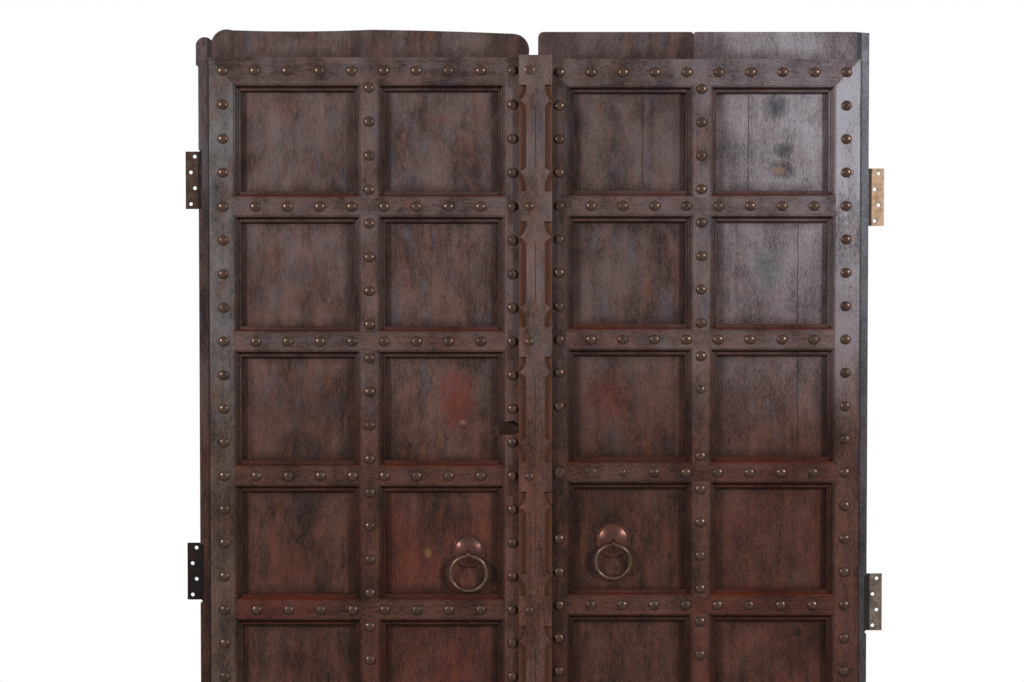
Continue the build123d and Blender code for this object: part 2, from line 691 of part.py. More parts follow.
def boss(x, z, boss_d):
    """Round backplate with a beaded rim and a domed middle, slotted for the split pin."""
    rim = boss_d / 2
    bead_in = rim - BOSS_BEAD_W
    bead_top = (rim - BOSS_BEAD_W / 2, BOSS_RIM_T + BOSS_BEAD_H)
    edges = [
        Line((0, 0), (rim, 0)),
        Line((rim, 0), (rim, BOSS_RIM_T)),
        ThreePointArc((rim, BOSS_RIM_T), bead_top, (bead_in, BOSS_RIM_T)),
        Line((bead_in, BOSS_RIM_T), (0, BOSS_RIM_T)),
        Line((0, BOSS_RIM_T), (0, 0)),
    ]
    plate = revolve(Plane.XZ * make_face(edges), Axis.Z)
    shell = plate + Pos(0, 0, BOSS_RIM_T) * cap(boss_d - 2 * BOSS_MARGIN_W, BOSS_H - BOSS_RIM_T)
    slot_w = 2 * (PIN_HALF_W + SHANK_CLEARANCE)
    slot_high = EYE_WIRE_D / 2 + SHANK_CLEARANCE
    slot_low = -EYE_DROP - EYE_R - EYE_WIRE_D / 2 - SHANK_CLEARANCE
    slot = Box(slot_w, slot_high - slot_low, 2 * BOSS_H)
    shell = shell - Pos(0, (slot_high + slot_low) / 2, BOSS_H / 2) * slot
    return Pos(x, 0, z) * (Rot(90, 0, 0) * shell)


def pin_hole(x, z):
    """The hole through the boards for the split pin."""
    wide = PIN_HALF_W + SHANK_CLEARANCE
    high = EYE_WIRE_D / 2 + SHANK_CLEARANCE
    return box(x - wide, x + wide, -RUN_OUT, BOARD_T + RUN_OUT, z - high, z + high)


def split_pin(x, z):
    """The eye that carries the ring, its shank, and its two legs bent flat against the back."""
    half = EYE_WIRE_D / 2
    back = BOARD_T + EYE_WIRE_D
    start = EYE_Y + EYE_SHANK_START
    shank = box(x - PIN_HALF_W, x + PIN_HALF_W, start, back, z - half, z + half)
    legs = box(x - PIN_HALF_W, x + PIN_HALF_W, BOARD_T, back, z - PIN_LEG_L, z + PIN_LEG_L)
    pin = shank + legs
    for strand in range(EYE_STRANDS):
        strand_x = x - PIN_HALF_W + EYE_WIRE_D / 2 + EYE_STRAND_PITCH * strand
        pin = pin + Pos(strand_x, EYE_Y, z - EYE_DROP) * (Rot(0, 90, 0) * Torus(EYE_R, half))
    return pin


def ring_middle_r(ring_d):
    """Radius of the ring at the middle of its wire."""
    return (ring_d - RING_WIRE_D) / 2


def ring_lean(ring_d):
    """How far the ring leans back from plumb, in degrees, with its foot all but on the panel."""
    reach = -EYE_Y - RING_WIRE_D / 2 - RING_REST_GAP
    return degrees(asin(reach / (2 * ring_middle_r(ring_d))))


def ring(x, z, ring_d):
    """The ring at rest: its top lies on the bottom of the eye and it leans back to the panel."""
    middle_r = ring_middle_r(ring_d)
    hoop = Pos(0, 0, -middle_r) * (Rot(90, 0, 0) * Torus(middle_r, RING_WIRE_D / 2))
    return Pos(x, EYE_Y, z - RING_DROP) * (Rot(ring_lean(ring_d), 0, 0) * hoop)


# Hinges. The pin's line lies just behind the leaf's back, and the free plate's front is flush with it.
PIN_Y = BOARD_T + KNUCKLE_R + KNUCKLE_WEB_GAP


def pin_x(leaf):
    """The x of the hinge pins: the let-in plate lies against the knuckles' inner side."""
    return leaf.edge_x - leaf.side * (leaf.mortise_d - KNUCKLE_R)


def knuckle_spans():
    """From and to of each knuckle, from the bottom of the plate."""
    pitch = PLATE_L / KNUCKLES
    return [(k * pitch + KNUCKLE_GAP / 2, (k + 1) * pitch - KNUCKLE_GAP / 2) for k in range(KNUCKLES)]


def hole_offsets():
    """The zigzag of holes: up from the plate's middle, and 1 for the right-hand line or 0 for the left."""
    first = PLATE_HOLE_PITCH * (PLATE_HOLES - 1) / 2
    return [(first - k * PLATE_HOLE_PITCH, (k + 1) % 2) for k in range(PLATE_HOLES)]


def left_line_x(leaf):
    """The x of the left-hand line of holes in a free plate, measured in from the plate's outer edge."""
    outer_line = pin_x(leaf) + leaf.side * (leaf.plate_reach - PLATE_HOLE_EDGE)
    return min(outer_line, outer_line - leaf.side * PLATE_HOLE_STEP)


def knuckles(x, z_low, numbers):
    """Bored knuckles of one plate."""
    bore = HINGE_PIN_R + HINGE_PIN_CLEARANCE
    pieces = []
    for number in numbers:
        low, high = knuckle_spans()[number]
        tube = extrude(Circle(KNUCKLE_R) - Circle(bore), amount=high - low)
        pieces.append(Pos(x, PIN_Y, z_low + low) * tube)
    return pieces


def jamb_plate(leaf, z):
    """The plate that is screwed to the wall or jamb, with knuckles 1, 3 and 5."""
    x = pin_x(leaf)
    s = leaf.side
    z_low = z - PLATE_L / 2
    front = PIN_Y - KNUCKLE_R
    knuckle_side = (KNUCKLE_R**2 - (KNUCKLE_R - PLATE_T) ** 2) ** 0.5
    inner = x + s * (knuckle_side + KNUCKLE_WEB_GAP)
    outer = x + s * leaf.plate_reach
    plate = box(inner, outer, front, front + PLATE_T, z_low, z_low + PLATE_L)
    for tube in knuckles(x, z_low, range(0, KNUCKLES, 2)):
        plate = plate + tube
    for low, high in knuckle_spans()[::2]:
        web = box(x, inner, front, front + PLATE_T, z_low + low, z_low + high)
        plate = plate + web
    bore = HINGE_PIN_R + HINGE_PIN_CLEARANCE
    plate = plate - Pos(x, PIN_Y, z) * Cylinder(bore, PLATE_L * 2)
    hole = Cylinder(PLATE_HOLE_R, 4 * PLATE_T)
    hole = hole + Pos(0, 0, -PLATE_SINK_DEPTH / 2) * Cone(PLATE_HOLE_R, PLATE_SINK_R, PLATE_SINK_DEPTH)
    for up, right in hole_offsets():
        hole_x = left_line_x(leaf) + right * PLATE_HOLE_STEP
        plate = plate - Pos(hole_x, front, z + up) * (Rot(90, 0, 0) * hole)
    return plate


def leaf_plate(leaf, z):
    """The plate let into the leaf's edge, with knuckles 2 and 4."""
    x = pin_x(leaf)
    s = leaf.side
    z_low = z - PLATE_L / 2
    face = x - s * KNUCKLE_R
    top = face + s * PLATE_T
    back = PIN_Y - KNUCKLE_R - KNUCKLE_WEB_GAP
    plate = box(face, top, back - LEAF_PLATE_W, back, z_low, z_low + PLATE_L)
    for tube in knuckles(x, z_low, range(1, KNUCKLES, 2)):
        plate = plate + tube
    for low, high in knuckle_spans()[1::2]:
        web = box(face, top, back, PIN_Y, z_low + low, z_low + high)
        plate = plate + web
    for place in screw_places(leaf, z):
        plate = plate - screw_shape(leaf, place, SCREW_CLEARANCE)
    return plate


def screw_places(leaf, z):
    """The (y, z) of the four screws in one leaf plate."""
    middle = PIN_Y - KNUCKLE_R - KNUCKLE_WEB_GAP - LEAF_PLATE_W / 2
    return [(middle + (right - 0.5) * PLATE_HOLE_STEP, z + up) for up, right in hole_offsets()]


def screw_shape(leaf, place, clearance):
    """A countersunk wood screw driven into the leaf's edge, or the hole for it with a clearance."""
    y, z = place
    head_r = SCREW_HEAD_R + clearance
    shank_r = SCREW_SHANK_R + clearance
    length = SCREW_L + clearance
    face = pin_x(leaf) - leaf.side * (KNUCKLE_R - PLATE_T)
    cone = Pos(0, 0, -PLATE_T / 2) * Cone(shank_r, head_r, PLATE_T)
    shank = Pos(0, 0, -length / 2) * Cylinder(shank_r, length)
    shape = cone + shank
    if clearance:
        shape = shape + Pos(0, 0, RUN_OUT / 2) * Cylinder(head_r, RUN_OUT)
    turn = 90 * leaf.side
    return Pos(face, y, z) * (Rot(0, turn, 0) * shape)


def hinge_mortise(leaf, level, z):
    """The recess in the leaf's edge that takes one plate. One of them stops short of the leaf's front."""
    deep = leaf.edge_x - leaf.side * leaf.mortise_d
    half = PLATE_L / 2 + HINGE_MORTISE_END
    out = leaf.edge_x + leaf.side * RUN_OUT
    front = BOARD_T - LEAF_PLATE_W if (leaf.name, level) == STOPPED_MORTISE else -RUN_OUT
    return box(deep, out, front, BOARD_T + RUN_OUT, z - half, z + half)


def hinge_pin(leaf, z):
    """A headed pin through the five knuckles, with a button at its foot."""
    x = pin_x(leaf)
    pin = Cylinder(HINGE_PIN_R, PLATE_L)
    head = Pos(0, 0, (PLATE_L + PIN_HEAD_H) / 2) * Cylinder(PIN_HEAD_R, PIN_HEAD_H)
    foot = Pos(0, 0, -(PLATE_L + PIN_HEAD_H) / 2) * Cylinder(PIN_HEAD_R, PIN_HEAD_H)
    return Pos(x, PIN_Y, z) * (pin + head + foot)


# Every piece, by its name
pieces = {}


def add_leaf(leaf, boards, studs, boss_x, boss_z, boss_d, ring_d, hinge_low, hinge_pitch):
    """All that belongs to one leaf, its ring and its hinges."""
    name = leaf.name
    hinge_z = [hinge_low + hinge_pitch * level for level in range(len(HINGE_LEVELS))]
    through = studs + (STRIP_STUDS if leaf is LEFT else [])
    cuts = [hinge_mortise(leaf, level, z) for level, z in zip(HINGE_LEVELS, hinge_z)]
    screws = [place for z in hinge_z for place in screw_places(leaf, z)]
    cuts += [screw_shape(leaf, place, SCREW_CLEARANCE) for place in screws]
    cuts.append(pin_hole(boss_x, boss_z))
    for board_name, piece in zip(("edge_board", "outer_board", "inner_board"), boards):
        pieces[f"{name}_{board_name}"] = drilled(piece - cuts, through)
    meeting = stile(leaf, True)
    if leaf is LEFT:
        meeting = meeting - meeting_stile_break()
    pieces[f"{name}_meeting_stile"] = drilled(meeting, through)
    pieces[f"{name}_outer_stile"] = drilled(stile(leaf, False), studs)
    pieces[f"{name}_top_rail"] = drilled(end_rail(leaf, True), studs)
    pieces[f"{name}_bottom_rail"] = drilled(end_rail(leaf, False), studs)
    for number, z in enumerate(reversed(leaf.rail_z), start=1):
        pieces[f"{name}_rail_{number}"] = drilled(rail(leaf, z), studs)
    muntins = [drilled(muntin(leaf, z_0, z_1), studs) for z_0, z_1 in muntin_spans(leaf)]
    pieces[f"{name}_muntins"] = Compound([solid for piece in muntins for solid in piece.solids()])
    pieces[f"{name}_studs"] = Compound([stud(place).solid() for place in studs])
    pieces[f"{name}_boss"] = boss(boss_x, boss_z, boss_d)
    pieces[f"{name}_split_pin"] = split_pin(boss_x, boss_z)
    pieces[f"{name}_ring"] = ring(boss_x, boss_z, ring_d)
    for level, z in zip(HINGE_LEVELS, hinge_z):
        pieces[f"{name}_jamb_plate_{level}"] = jamb_plate(leaf, z)
        pieces[f"{name}_leaf_plate_{level}"] = leaf_plate(leaf, z)
    pieces[f"{name}_hinge_pins"] = Compound([hinge_pin(leaf, z).solid() for z in hinge_z])
    pieces[f"{name}_hinge_screws"] = Compound([screw_shape(leaf, place, 0).solid() for place in screws])


LEFT_HANDLE = (LEFT_BOSS_X, LEFT_BOSS_Z, LEFT_BOSS_D, LEFT_RING_D)
RIGHT_HANDLE = (RIGHT_BOSS_X, RIGHT_BOSS_Z, RIGHT_BOSS_D, RIGHT_RING_D)
LEFT_PLACES = (*LEFT_HANDLE, LEFT_HINGE_LOW_Z, LEFT_HINGE_PITCH)
RIGHT_PLACES = (*RIGHT_HANDLE, RIGHT_HINGE_LOW_Z, RIGHT_HINGE_PITCH)
add_leaf(LEFT, left_boards(), LEFT_STUDS, *LEFT_PLACES)
add_leaf(RIGHT, right_boards(), RIGHT_STUDS, *RIGHT_PLACES)
pieces["cover_strip"] = drilled(cover_strip(), STRIP_STUDS)
pieces["cover_strip_studs"] = Compound([stud(place).solid() for place in STRIP_STUDS])

# The origin goes to the middle of the foot of everything
limits = Compound([solid for piece in pieces.values() for solid in piece.solids()]).bounding_box()
shift_x = -(limits.min.X + limits.max.X) / 2
shift_y = -(limits.min.Y + limits.max.Y) / 2
shift_z = -limits.min.Z

os.makedirs("parts", exist_ok=True)
for node, piece in pieces.items():
    export_step(Pos(shift_x, shift_y, shift_z) * piece, f"parts/{node}.step")

# Places that a mount or a joint is measured from, in the finished frame
print(f"overall {limits.size.X:.2f} x {limits.size.Y:.2f} x {limits.size.Z:.2f}")
print(f"shift {shift_x:.4f} {shift_y:.4f} {shift_z:.4f}")
for leaf, places in ((LEFT, LEFT_PLACES), (RIGHT, RIGHT_PLACES)):
    low, pitch = places[-2:]
    print(f"{leaf.name} pin x {pin_x(leaf) + shift_x:.4f} y {PIN_Y + shift_y:.4f}")
    plate_y = PIN_Y - KNUCKLE_R + shift_y
    print(f"{leaf.name} plate front y {plate_y:.4f} z {low + shift_z:.3f} pitch {pitch:.3f}")
    print(f"{leaf.name} hole lines left x {left_line_x(leaf) + shift_x:.4f} step {PLATE_HOLE_STEP:.3f}")
    x, z, _, ring_d = places[:4]
    print(f"{leaf.name} ring x {x + shift_x:.4f} y {EYE_Y + shift_y:.4f} z {z - RING_DROP + shift_z:.4f}")
    print(f"{leaf.name} hoop radius {ring_middle_r(ring_d):.4f} lean {ring_lean(ring_d):.4f}")
print("studs", len(LEFT_STUDS), len(RIGHT_STUDS), len(STRIP_STUDS))
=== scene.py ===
# %% [markdown]
# # The looks of a carved temple door
#
# The solids come from the CAD model, already in place and in metres. This script gives them old wood
# and old iron, makes the forged pieces that plain solids are too regular for, and sets up the camera
# and the light of the photograph. Nothing in the CAD model is moved or reshaped.

import bmesh
import bpy
import math
from mathutils import Matrix, Vector, noise


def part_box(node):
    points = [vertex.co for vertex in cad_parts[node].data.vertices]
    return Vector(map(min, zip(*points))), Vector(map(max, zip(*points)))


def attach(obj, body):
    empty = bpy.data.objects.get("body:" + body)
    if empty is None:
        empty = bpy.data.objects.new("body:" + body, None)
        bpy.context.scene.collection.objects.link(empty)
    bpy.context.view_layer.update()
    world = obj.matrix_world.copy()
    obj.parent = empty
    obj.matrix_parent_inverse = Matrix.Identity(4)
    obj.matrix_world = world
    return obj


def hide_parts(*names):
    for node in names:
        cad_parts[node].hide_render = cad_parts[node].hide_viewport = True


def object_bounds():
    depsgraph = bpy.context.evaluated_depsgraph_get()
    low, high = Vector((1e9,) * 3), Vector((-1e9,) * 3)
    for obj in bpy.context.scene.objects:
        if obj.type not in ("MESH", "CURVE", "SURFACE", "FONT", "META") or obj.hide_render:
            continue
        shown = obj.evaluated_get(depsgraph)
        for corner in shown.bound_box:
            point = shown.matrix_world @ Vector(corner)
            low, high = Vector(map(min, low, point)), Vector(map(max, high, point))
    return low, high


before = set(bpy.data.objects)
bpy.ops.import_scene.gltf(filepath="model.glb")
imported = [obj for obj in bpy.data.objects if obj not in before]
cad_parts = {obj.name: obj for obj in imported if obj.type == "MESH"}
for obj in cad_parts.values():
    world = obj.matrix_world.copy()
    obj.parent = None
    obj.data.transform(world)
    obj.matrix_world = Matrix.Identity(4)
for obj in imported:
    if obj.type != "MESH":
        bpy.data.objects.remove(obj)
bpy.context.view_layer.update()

# %% [markdown]
# ## Where things lie
#
# Every level is read from the solids, so the looks follow the CAD model if a size changes there.
# The front of the door faces -Y. Three levels matter: the panels, the face of the frame over them,
# and the face of the cover strip over that.

# %% Levels read from the solids
MM = 0.001
PANEL_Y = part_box("left_inner_board")[0][1]
FACE_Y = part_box("left_top_rail")[0][1]
STRIP_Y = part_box("cover_strip")[0][1]
DOOR_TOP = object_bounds()[1][2]
MIDDLE_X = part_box("left_meeting_stile")[1][0] + 0.5 * MM
print("panel, frame and strip fronts", PANEL_Y, FACE_Y, STRIP_Y, "top", DOOR_TOP, "middle", MIDDLE_X)

# %% [markdown]
# ## A bench for mixing finishes
#
# A Blender material is a small network of nodes. Building it by hand in the editor is fine for one
# wood. This door needs a dozen related ones, so a short class keeps each recipe readable: noise for
# fibres and clouds, a level to pick a range out of it, a mix to lay one colour over another, and bump
# for relief that is too fine to model. All of them read Object coordinates, which here are real metres.

# %% Colours and the node bench
def paint(red, green, blue):
    """A colour as the eye reads it, 0 to 255, turned into the linear values that the shader wants."""
    def linear(channel):
        value = channel / 255
        return value / 12.92 if value <= 0.04045 else ((value + 0.055) / 1.055) ** 2.4
    return (linear(red), linear(green), linear(blue), 1.0)


class Finish:
    """One material, with short names for the nodes that this door's finishes use."""

    def __init__(self, name):
        self.material = bpy.data.materials.new(name)
        self.material.use_nodes = True
        self.tree = self.material.node_tree
        self.shader = self.tree.nodes["Principled BSDF"]
        self.place = self.add("ShaderNodeTexCoord").outputs["Object"]
        self.x, self.y, self.z = self.split(self.place)

    def add(self, kind, **settings):
        node = self.tree.nodes.new(kind)
        for key, value in settings.items():
            setattr(node, key, value)
        return node

    def put(self, socket, value):
        if isinstance(value, bpy.types.NodeSocket):
            self.tree.links.new(value, socket)
        else:
            socket.default_value = value

    def split(self, vector):
        """The X, Y and Z of a vector."""
        node = self.add("ShaderNodeSeparateXYZ")
        self.put(node.inputs[0], vector)
        return node.outputs

    def noise(self, scale, shift=0.0, detail=3.0, roughness=0.55):
        """Noise whose scale, in lumps per metre, can differ along X, Y and Z."""
        mapping = self.add("ShaderNodeMapping")
        self.put(mapping.inputs["Vector"], self.place)
        self.put(mapping.inputs["Location"], (shift, shift * 0.7, shift * 1.3))
        self.put(mapping.inputs["Scale"], scale)
        texture = self.add("ShaderNodeTexNoise")
        self.put(texture.inputs["Vector"], mapping.outputs[0])
        self.put(texture.inputs["Scale"], 1.0)
        self.put(texture.inputs["Detail"], detail)
        self.put(texture.inputs["Roughness"], roughness)
        return texture.outputs["Fac"]

    def math(self, operation, first, second=0.0):
        node = self.add("ShaderNodeMath", operation=operation)
        self.put(node.inputs[0], first)
        self.put(node.inputs[1], second)
        return node.outputs[0]

    def times(self, first, *others):
        """The product of masks: strong only where all of them are."""
        for other in others:
            first = self.math("MULTIPLY", first, other)
        return first

    def apart(self, first, second):
        """How far two values lie from each other."""
        return self.math("ABSOLUTE", self.math("SUBTRACT", first, second))

    def level(self, value, low, high, out_low=0.0, out_high=1.0):
        """Spreads the range from low to high over out_low to out_high, and holds it there outside."""
        node = self.add("ShaderNodeMapRange", clamp=True)
        for socket, number in zip(node.inputs, (value, low, high, out_low, out_high)):
            self.put(socket, number)
        return node.outputs[0]

    def mix(self, amount, under, over, blend="MIX"):
        """Lays one colour over another by an amount from 0 to 1, or multiplies it in as a glaze would."""
        node = self.add("ShaderNodeMix", data_type="RGBA", blend_type=blend)
        for index, value in ((0, amount), (6, under), (7, over)):
            self.put(node.inputs[index], value)
        return node.outputs[2]

    def glaze(self, amount, under, tint):
        return self.mix(amount, under, tint, "MULTIPLY")

    def relief(self, height, depth):
        """Bump from a height of 0 to 1, depth metres deep."""
        node = self.add("ShaderNodeBump")
        self.put(node.inputs["Strength"], 1.0)
        self.put(node.inputs["Distance"], depth)
        self.put(node.inputs["Height"], height)
        self.put(self.shader.inputs["Normal"], node.outputs[0])


# %% [markdown]
# ## The grain of old wood
#
# The door is hardwood that was once dark. One flat brown would look like plastic, so the recipe goes
# from coarse to fine: clouds a hand wide, faint streaks along the grain, fibres that are dashes a few
# millimetres long, threads and pores. Rails run their grain level and the rest upright, so the pattern
# is stretched along X or along Z. Each board keeps its noises, because every later layer follows them:
# bloom and painted sheen, stain, dirt and painted shade all sit on the same fibres.

# %% A board and its grain
def stretched(grain, across, along):
    """Noise scale that is drawn out along the grain."""
    return (along, across, across) if grain == "level" else (across, across, along)


class Board(Finish):
    """A wood finish that remembers its grain."""

    def __init__(self, name, grain, seed):
        super().__init__(name)
        self.seed = seed
        self.cloud = self.noise((3.4, 3.4, 2.6), seed, 2.0)
        self.mottle = self.noise((15, 15, 9), seed + 5, 4.0, 0.62)
        self.streak = self.noise(stretched(grain, 75, 6), seed + 11, 3.0)
        self.fibre = self.noise(stretched(grain, 430, 95), seed + 17, 3.0, 0.6)
        self.thread = self.noise(stretched(grain, 900, 330), seed + 23, 2.0, 0.6)
        self.pore = self.noise(stretched(grain, 900, 260), seed + 29, 2.0)
        self.tint = self.noise(stretched(grain, 46, 16), seed + 31, 3.0, 0.6)
        self.tone = self.times(self.streak, 0.14)
        for part, share in ((self.fibre, 0.24), (self.thread, 0.3), (self.mottle, 0.32)):
            self.tone = self.math("ADD", self.tone, self.times(part, share))

        # Marks, the painted shade of the panel margins and the painted sheen lie on the front of a board only
        self.on_front = self.level(self.y, PANEL_Y + 1 * MM, PANEL_Y + 2 * MM, 1.0, 0.0)

        # The piece's own normal, which stays the same when a leaf swings open
        geometry = self.add("ShaderNodeNewGeometry")
        own = self.add("ShaderNodeVectorTransform", vector_type="NORMAL",
                       convert_from="WORLD", convert_to="OBJECT")
        self.put(own.inputs[0], geometry.outputs["Normal"])
        normal = self.split(own.outputs[0])
        self.facing = self.math("ABSOLUTE", normal[1])
        self.upward = normal[2]


# %% [markdown]
# ## Weather and painted sheen
#
# Lower down the door is redder and darker, and higher up it is greyer and bluer: partly grey bloom,
# partly painted sheen of the lamps. The right leaf's upper corner carries a painted silvery sheen of
# the right lamp. All this is done with height masks, each broken up by a cloud and by the grain, so
# that none of them stops at a line.

# %% Red below, grey above
ROSY = paint(120, 76, 66)
BLUISH_CLOUD_AND_SHEEN = paint(84, 82, 90)
SILVERY_SHEEN = paint(156, 152, 160)
LOW_GLAZE = (0.86, 0.74, 0.68, 1)
DEEP_GLAZE = (0.2, 0.17, 0.16, 1)


def grain_colour(board, dark, light, warm, warmth):
    """Dark and light fibres, rosy here and there, and redder in clouds towards the foot."""
    colour = board.mix(board.level(board.tone, 0.43, 0.58), dark, light)
    colour = board.mix(board.level(board.tint, 0.54, 0.68, 0.0, 0.4), colour, ROSY)
    red = board.times(board.level(board.cloud, 0.34, 0.64), board.level(board.z, 1.0, DOOR_TOP, 0.8, 0.3),
                      warmth * 2)
    warm_grain = board.mix(board.level(board.tone, 0.42, 0.6), dark, warm)
    return board.mix(board.math("MINIMUM", red, 0.9), colour, warm_grain)


def weathered(board, colour, bloom_with_sheen, painted_sheen, deep):
    """Grey bloom and painted sheen high up, a painted silvery sheen at the upper right, darker and redder low
    down, and a deeper tone all over if asked.
    """
    # Greyer high up: partly grey bloom, partly painted sheen of the lamps
    high = board.level(board.z, 1.15, 1.75, 0.08, 0.62)
    grey = board.times(high, board.level(board.mottle, 0.36, 0.62, 0.3, 1.0),
                       board.level(board.tone, 0.4, 0.6, 0.35, 1.0))
    colour = board.mix(grey, colour, bloom_with_sheen)
    # Bluer high up: the wood's own blue-grey clouds and a painted sheen
    blue = board.times(board.level(board.tint, 0.46, 0.34, 0.0, 0.36),
                       board.level(board.z, 1.1, 1.5, 0.2, 1.0))
    colour = board.mix(blue, colour, BLUISH_CLOUD_AND_SHEEN)
    # A painted silvery sheen of the right lamp on the upper right of the door
    if painted_sheen:
        right = board.times(board.level(board.x, 0.12, 0.5), board.level(board.z, 1.3, 1.85),
                            board.level(board.tone, 0.42, 0.56, 0.25, 1.0), board.on_front, painted_sheen)
        colour = board.mix(right, colour, SILVERY_SHEEN)
    # Darker and redder towards the bottom
    colour = board.glaze(board.level(board.z, 1.26, 1.44, 1.0, 0.0), colour, LOW_GLAZE)
    return board.glaze(deep, colour, DEEP_GLAZE)


# %% [markdown]
# ## Margins, shoulders and mouldings
#
# Painted shade and light follow the shape, with some dirt and wear. Panels get a painted shade beside
# the mouldings, with some dirt. Shoulders that face up get painted orange light from above, undersides
# and sunk mouldings get painted shade, and the arris of every flat is painted pale, part wear and part
# highlight. The masks come from the normal and from how deep a point lies, both in the piece's own
# space. A mask on world normals would change colour as the leaf swings.

# %% Layers that follow the shape
# Painted shade and light that follow the shape, with some dirt and wear: shade in the panel margins, orange
# light on faces turned up, shade on undersides, in sunk mouldings and at the moulding foot, and pale arrises
# of part wear and part highlight
MARGIN_SHADE_GLAZE = (0.5, 0.42, 0.4, 1)
MOULDING_SHADE_GLAZE = (0.5, 0.38, 0.33, 1)
UPLIT_ORANGE = paint(122, 56, 28)
UNDERSIDE_SHADE = paint(30, 18, 14)
PALE_WEAR_AND_HIGHLIGHT = paint(150, 126, 112)
FOOT_SHADE = paint(16, 10, 9)
ARRIS_WEAR_AND_HIGHLIGHT = 0.7


def panel_margin_shade(board, colour, panel):
    """A painted shade band, with some dirt, along the inside of every panel of one column."""
    centre, half_w, rail_z, pitch = panel
    above = board.math("FLOORED_MODULO", board.math("SUBTRACT", board.z, rail_z), pitch)
    side = board.level(board.apart(board.x, centre), half_w - 0.026, half_w - 0.004)
    ends = board.level(board.apart(above, pitch / 2), pitch / 2 - 0.045, pitch / 2 - 0.028)
    band_shade = board.times(board.math("MAXIMUM", side, ends),
                         board.level(board.tint, 0.35, 0.65, 1.0, 0.45), board.on_front)
    return board.glaze(band_shade, colour, MARGIN_SHADE_GLAZE)


def shape_light_and_wear(board, colour, worn):
    """Painted light on faces turned up, painted shade on undersides, sunk mouldings and the moulding foot,
    and pale arrises of part wear and part highlight.
    """
    # Painted orange light from above on faces turned up, broken by cloud and grain
    uplit_shoulder = board.times(board.level(board.upward, 0.3, 0.8), board.level(board.cloud, 0.4, 0.6, 0.25, 0.9),
                           board.level(board.tone, 0.42, 0.58, 0.45, 1.0))
    colour = board.mix(uplit_shoulder, colour, UPLIT_ORANGE)
    # Painted shade on faces turned down
    colour = board.mix(board.level(board.upward, -0.8, -0.3, 0.7, 0.0), colour, UNDERSIDE_SHADE)

    # Mouldings below the flats get painted shade
    moulding_shade = board.times(board.level(board.y, FACE_Y + 0.8 * MM, FACE_Y + 2 * MM),
                       board.level(board.y, PANEL_Y - 1 * MM, PANEL_Y - 2 * MM),
                       board.level(board.facing, 0.9, 1.0, 1.0, 0.35))
    colour = board.glaze(moulding_shade, colour, MOULDING_SHADE_GLAZE)

    # Tilted edges are painted pale, part wear and part highlight. Near the face of a flat only its rounded
    # edge is tilted. On the strip every tilted edge is pale
    tilted = board.times(board.level(board.facing, 0.97, 0.85), board.level(board.facing, 0.1, 0.4))
    if not worn:
        tilted = board.times(tilted, board.level(board.y, FACE_Y + 0.6 * MM, FACE_Y + 1.1 * MM, 1.0, 0.0))
    colour = board.mix(board.times(tilted, worn or ARRIS_WEAR_AND_HIGHLIGHT), colour, PALE_WEAR_AND_HIGHLIGHT)

    # Painted shade at the foot of the moulding, near the panel
    foot = board.math("SUBTRACT", PANEL_Y, board.y)
    foot_shade = board.times(board.level(foot, 0.4 * MM, 6.2 * MM, 0.75, 0.0), board.level(foot, 0.0, 0.4 * MM))
    return board.mix(foot_shade, colour, FOOT_SHADE)


# %% [markdown]
# ## Marks and splits
#
# Knots, stains and smears sit at single places. Each is an uneven oval: the distance from its middle
# in half widths, with noise added before it is cut off, so that no two edges are alike. Shrinkage
# splits are hairlines that follow the grain with a slight wander.

# %% Layers at single places
SPLIT_DARK = paint(12, 8, 7)


def uneven_oval(board, x, z, half_x, half_z, ragged=1.6):
    """1 in the middle of an uneven oval at (x, z) on the door's face, falling to 0 at its edge."""
    across = board.math("DIVIDE", board.math("SUBTRACT", board.x, x), half_x)
    up = board.math("DIVIDE", board.math("SUBTRACT", board.z, z), half_z)
    square = board.math("ADD", board.math("POWER", board.math("ABSOLUTE", across), 2.0),
                        board.math("POWER", board.math("ABSOLUTE", up), 2.0))
    uneven = board.times(board.noise((110, 110, 52), x * 9, 5.0, 0.72), ragged * 2)
    return board.level(board.math("ADD", square, uneven), ragged, 1.3 + ragged, 1.0, 0.0)


def marked(board, colour, marks):
    """Lays the stains and knots of one board over its colour."""
    for x, z, half_x, half_z, stain, strength in marks:
        amount = board.times(uneven_oval(board, x, z, half_x, half_z), strength, board.on_front,
                             board.level(board.tone, 0.42, 0.58, 1.0, 0.66))
        colour = board.mix(amount, colour, stain)
    return colour


def split_open(board, splits):
    """1 inside the hairlines where the board has split, 0 elsewhere."""
    opened = 0.0
    wander = board.times(board.math("SUBTRACT", board.noise((2, 2, 14), board.seed + 37, 2.0), 0.5), 0.004)
    for x, low_z, high_z in splits:
        off = board.apart(board.math("ADD", board.x, wander), x)
        line = board.times(board.level(off, 0.3 * MM, 1.1 * MM, 1.0, 0.0),
                           board.level(board.z, low_z, low_z + 0.01),
                           board.level(board.z, high_z - 0.01, high_z, 1.0, 0.0))
        opened = board.math("MAXIMUM", opened, line)
    return opened


# %% [markdown]
# ## The whole wood recipe
#
# The layers go on in this order: the wood, the weather with its painted sheen, the painted shade,
# light and wear of the shape, the painted corner shade with dirt, the marks with the painted ring
# shadows, the splits and last the open pores. The gloss follows the fibres, so light fibres shine a
# little more. The bump is about a millimetre deep at most, as weathered grain is.

# %% The wood recipe
SHADE_AND_DIRT_STRENGTH = 0.8
PORE_DARK = paint(20, 12, 10)
WOOD_SHEEN = 0.12
WOOD_RELIEF = 1.2 * MM


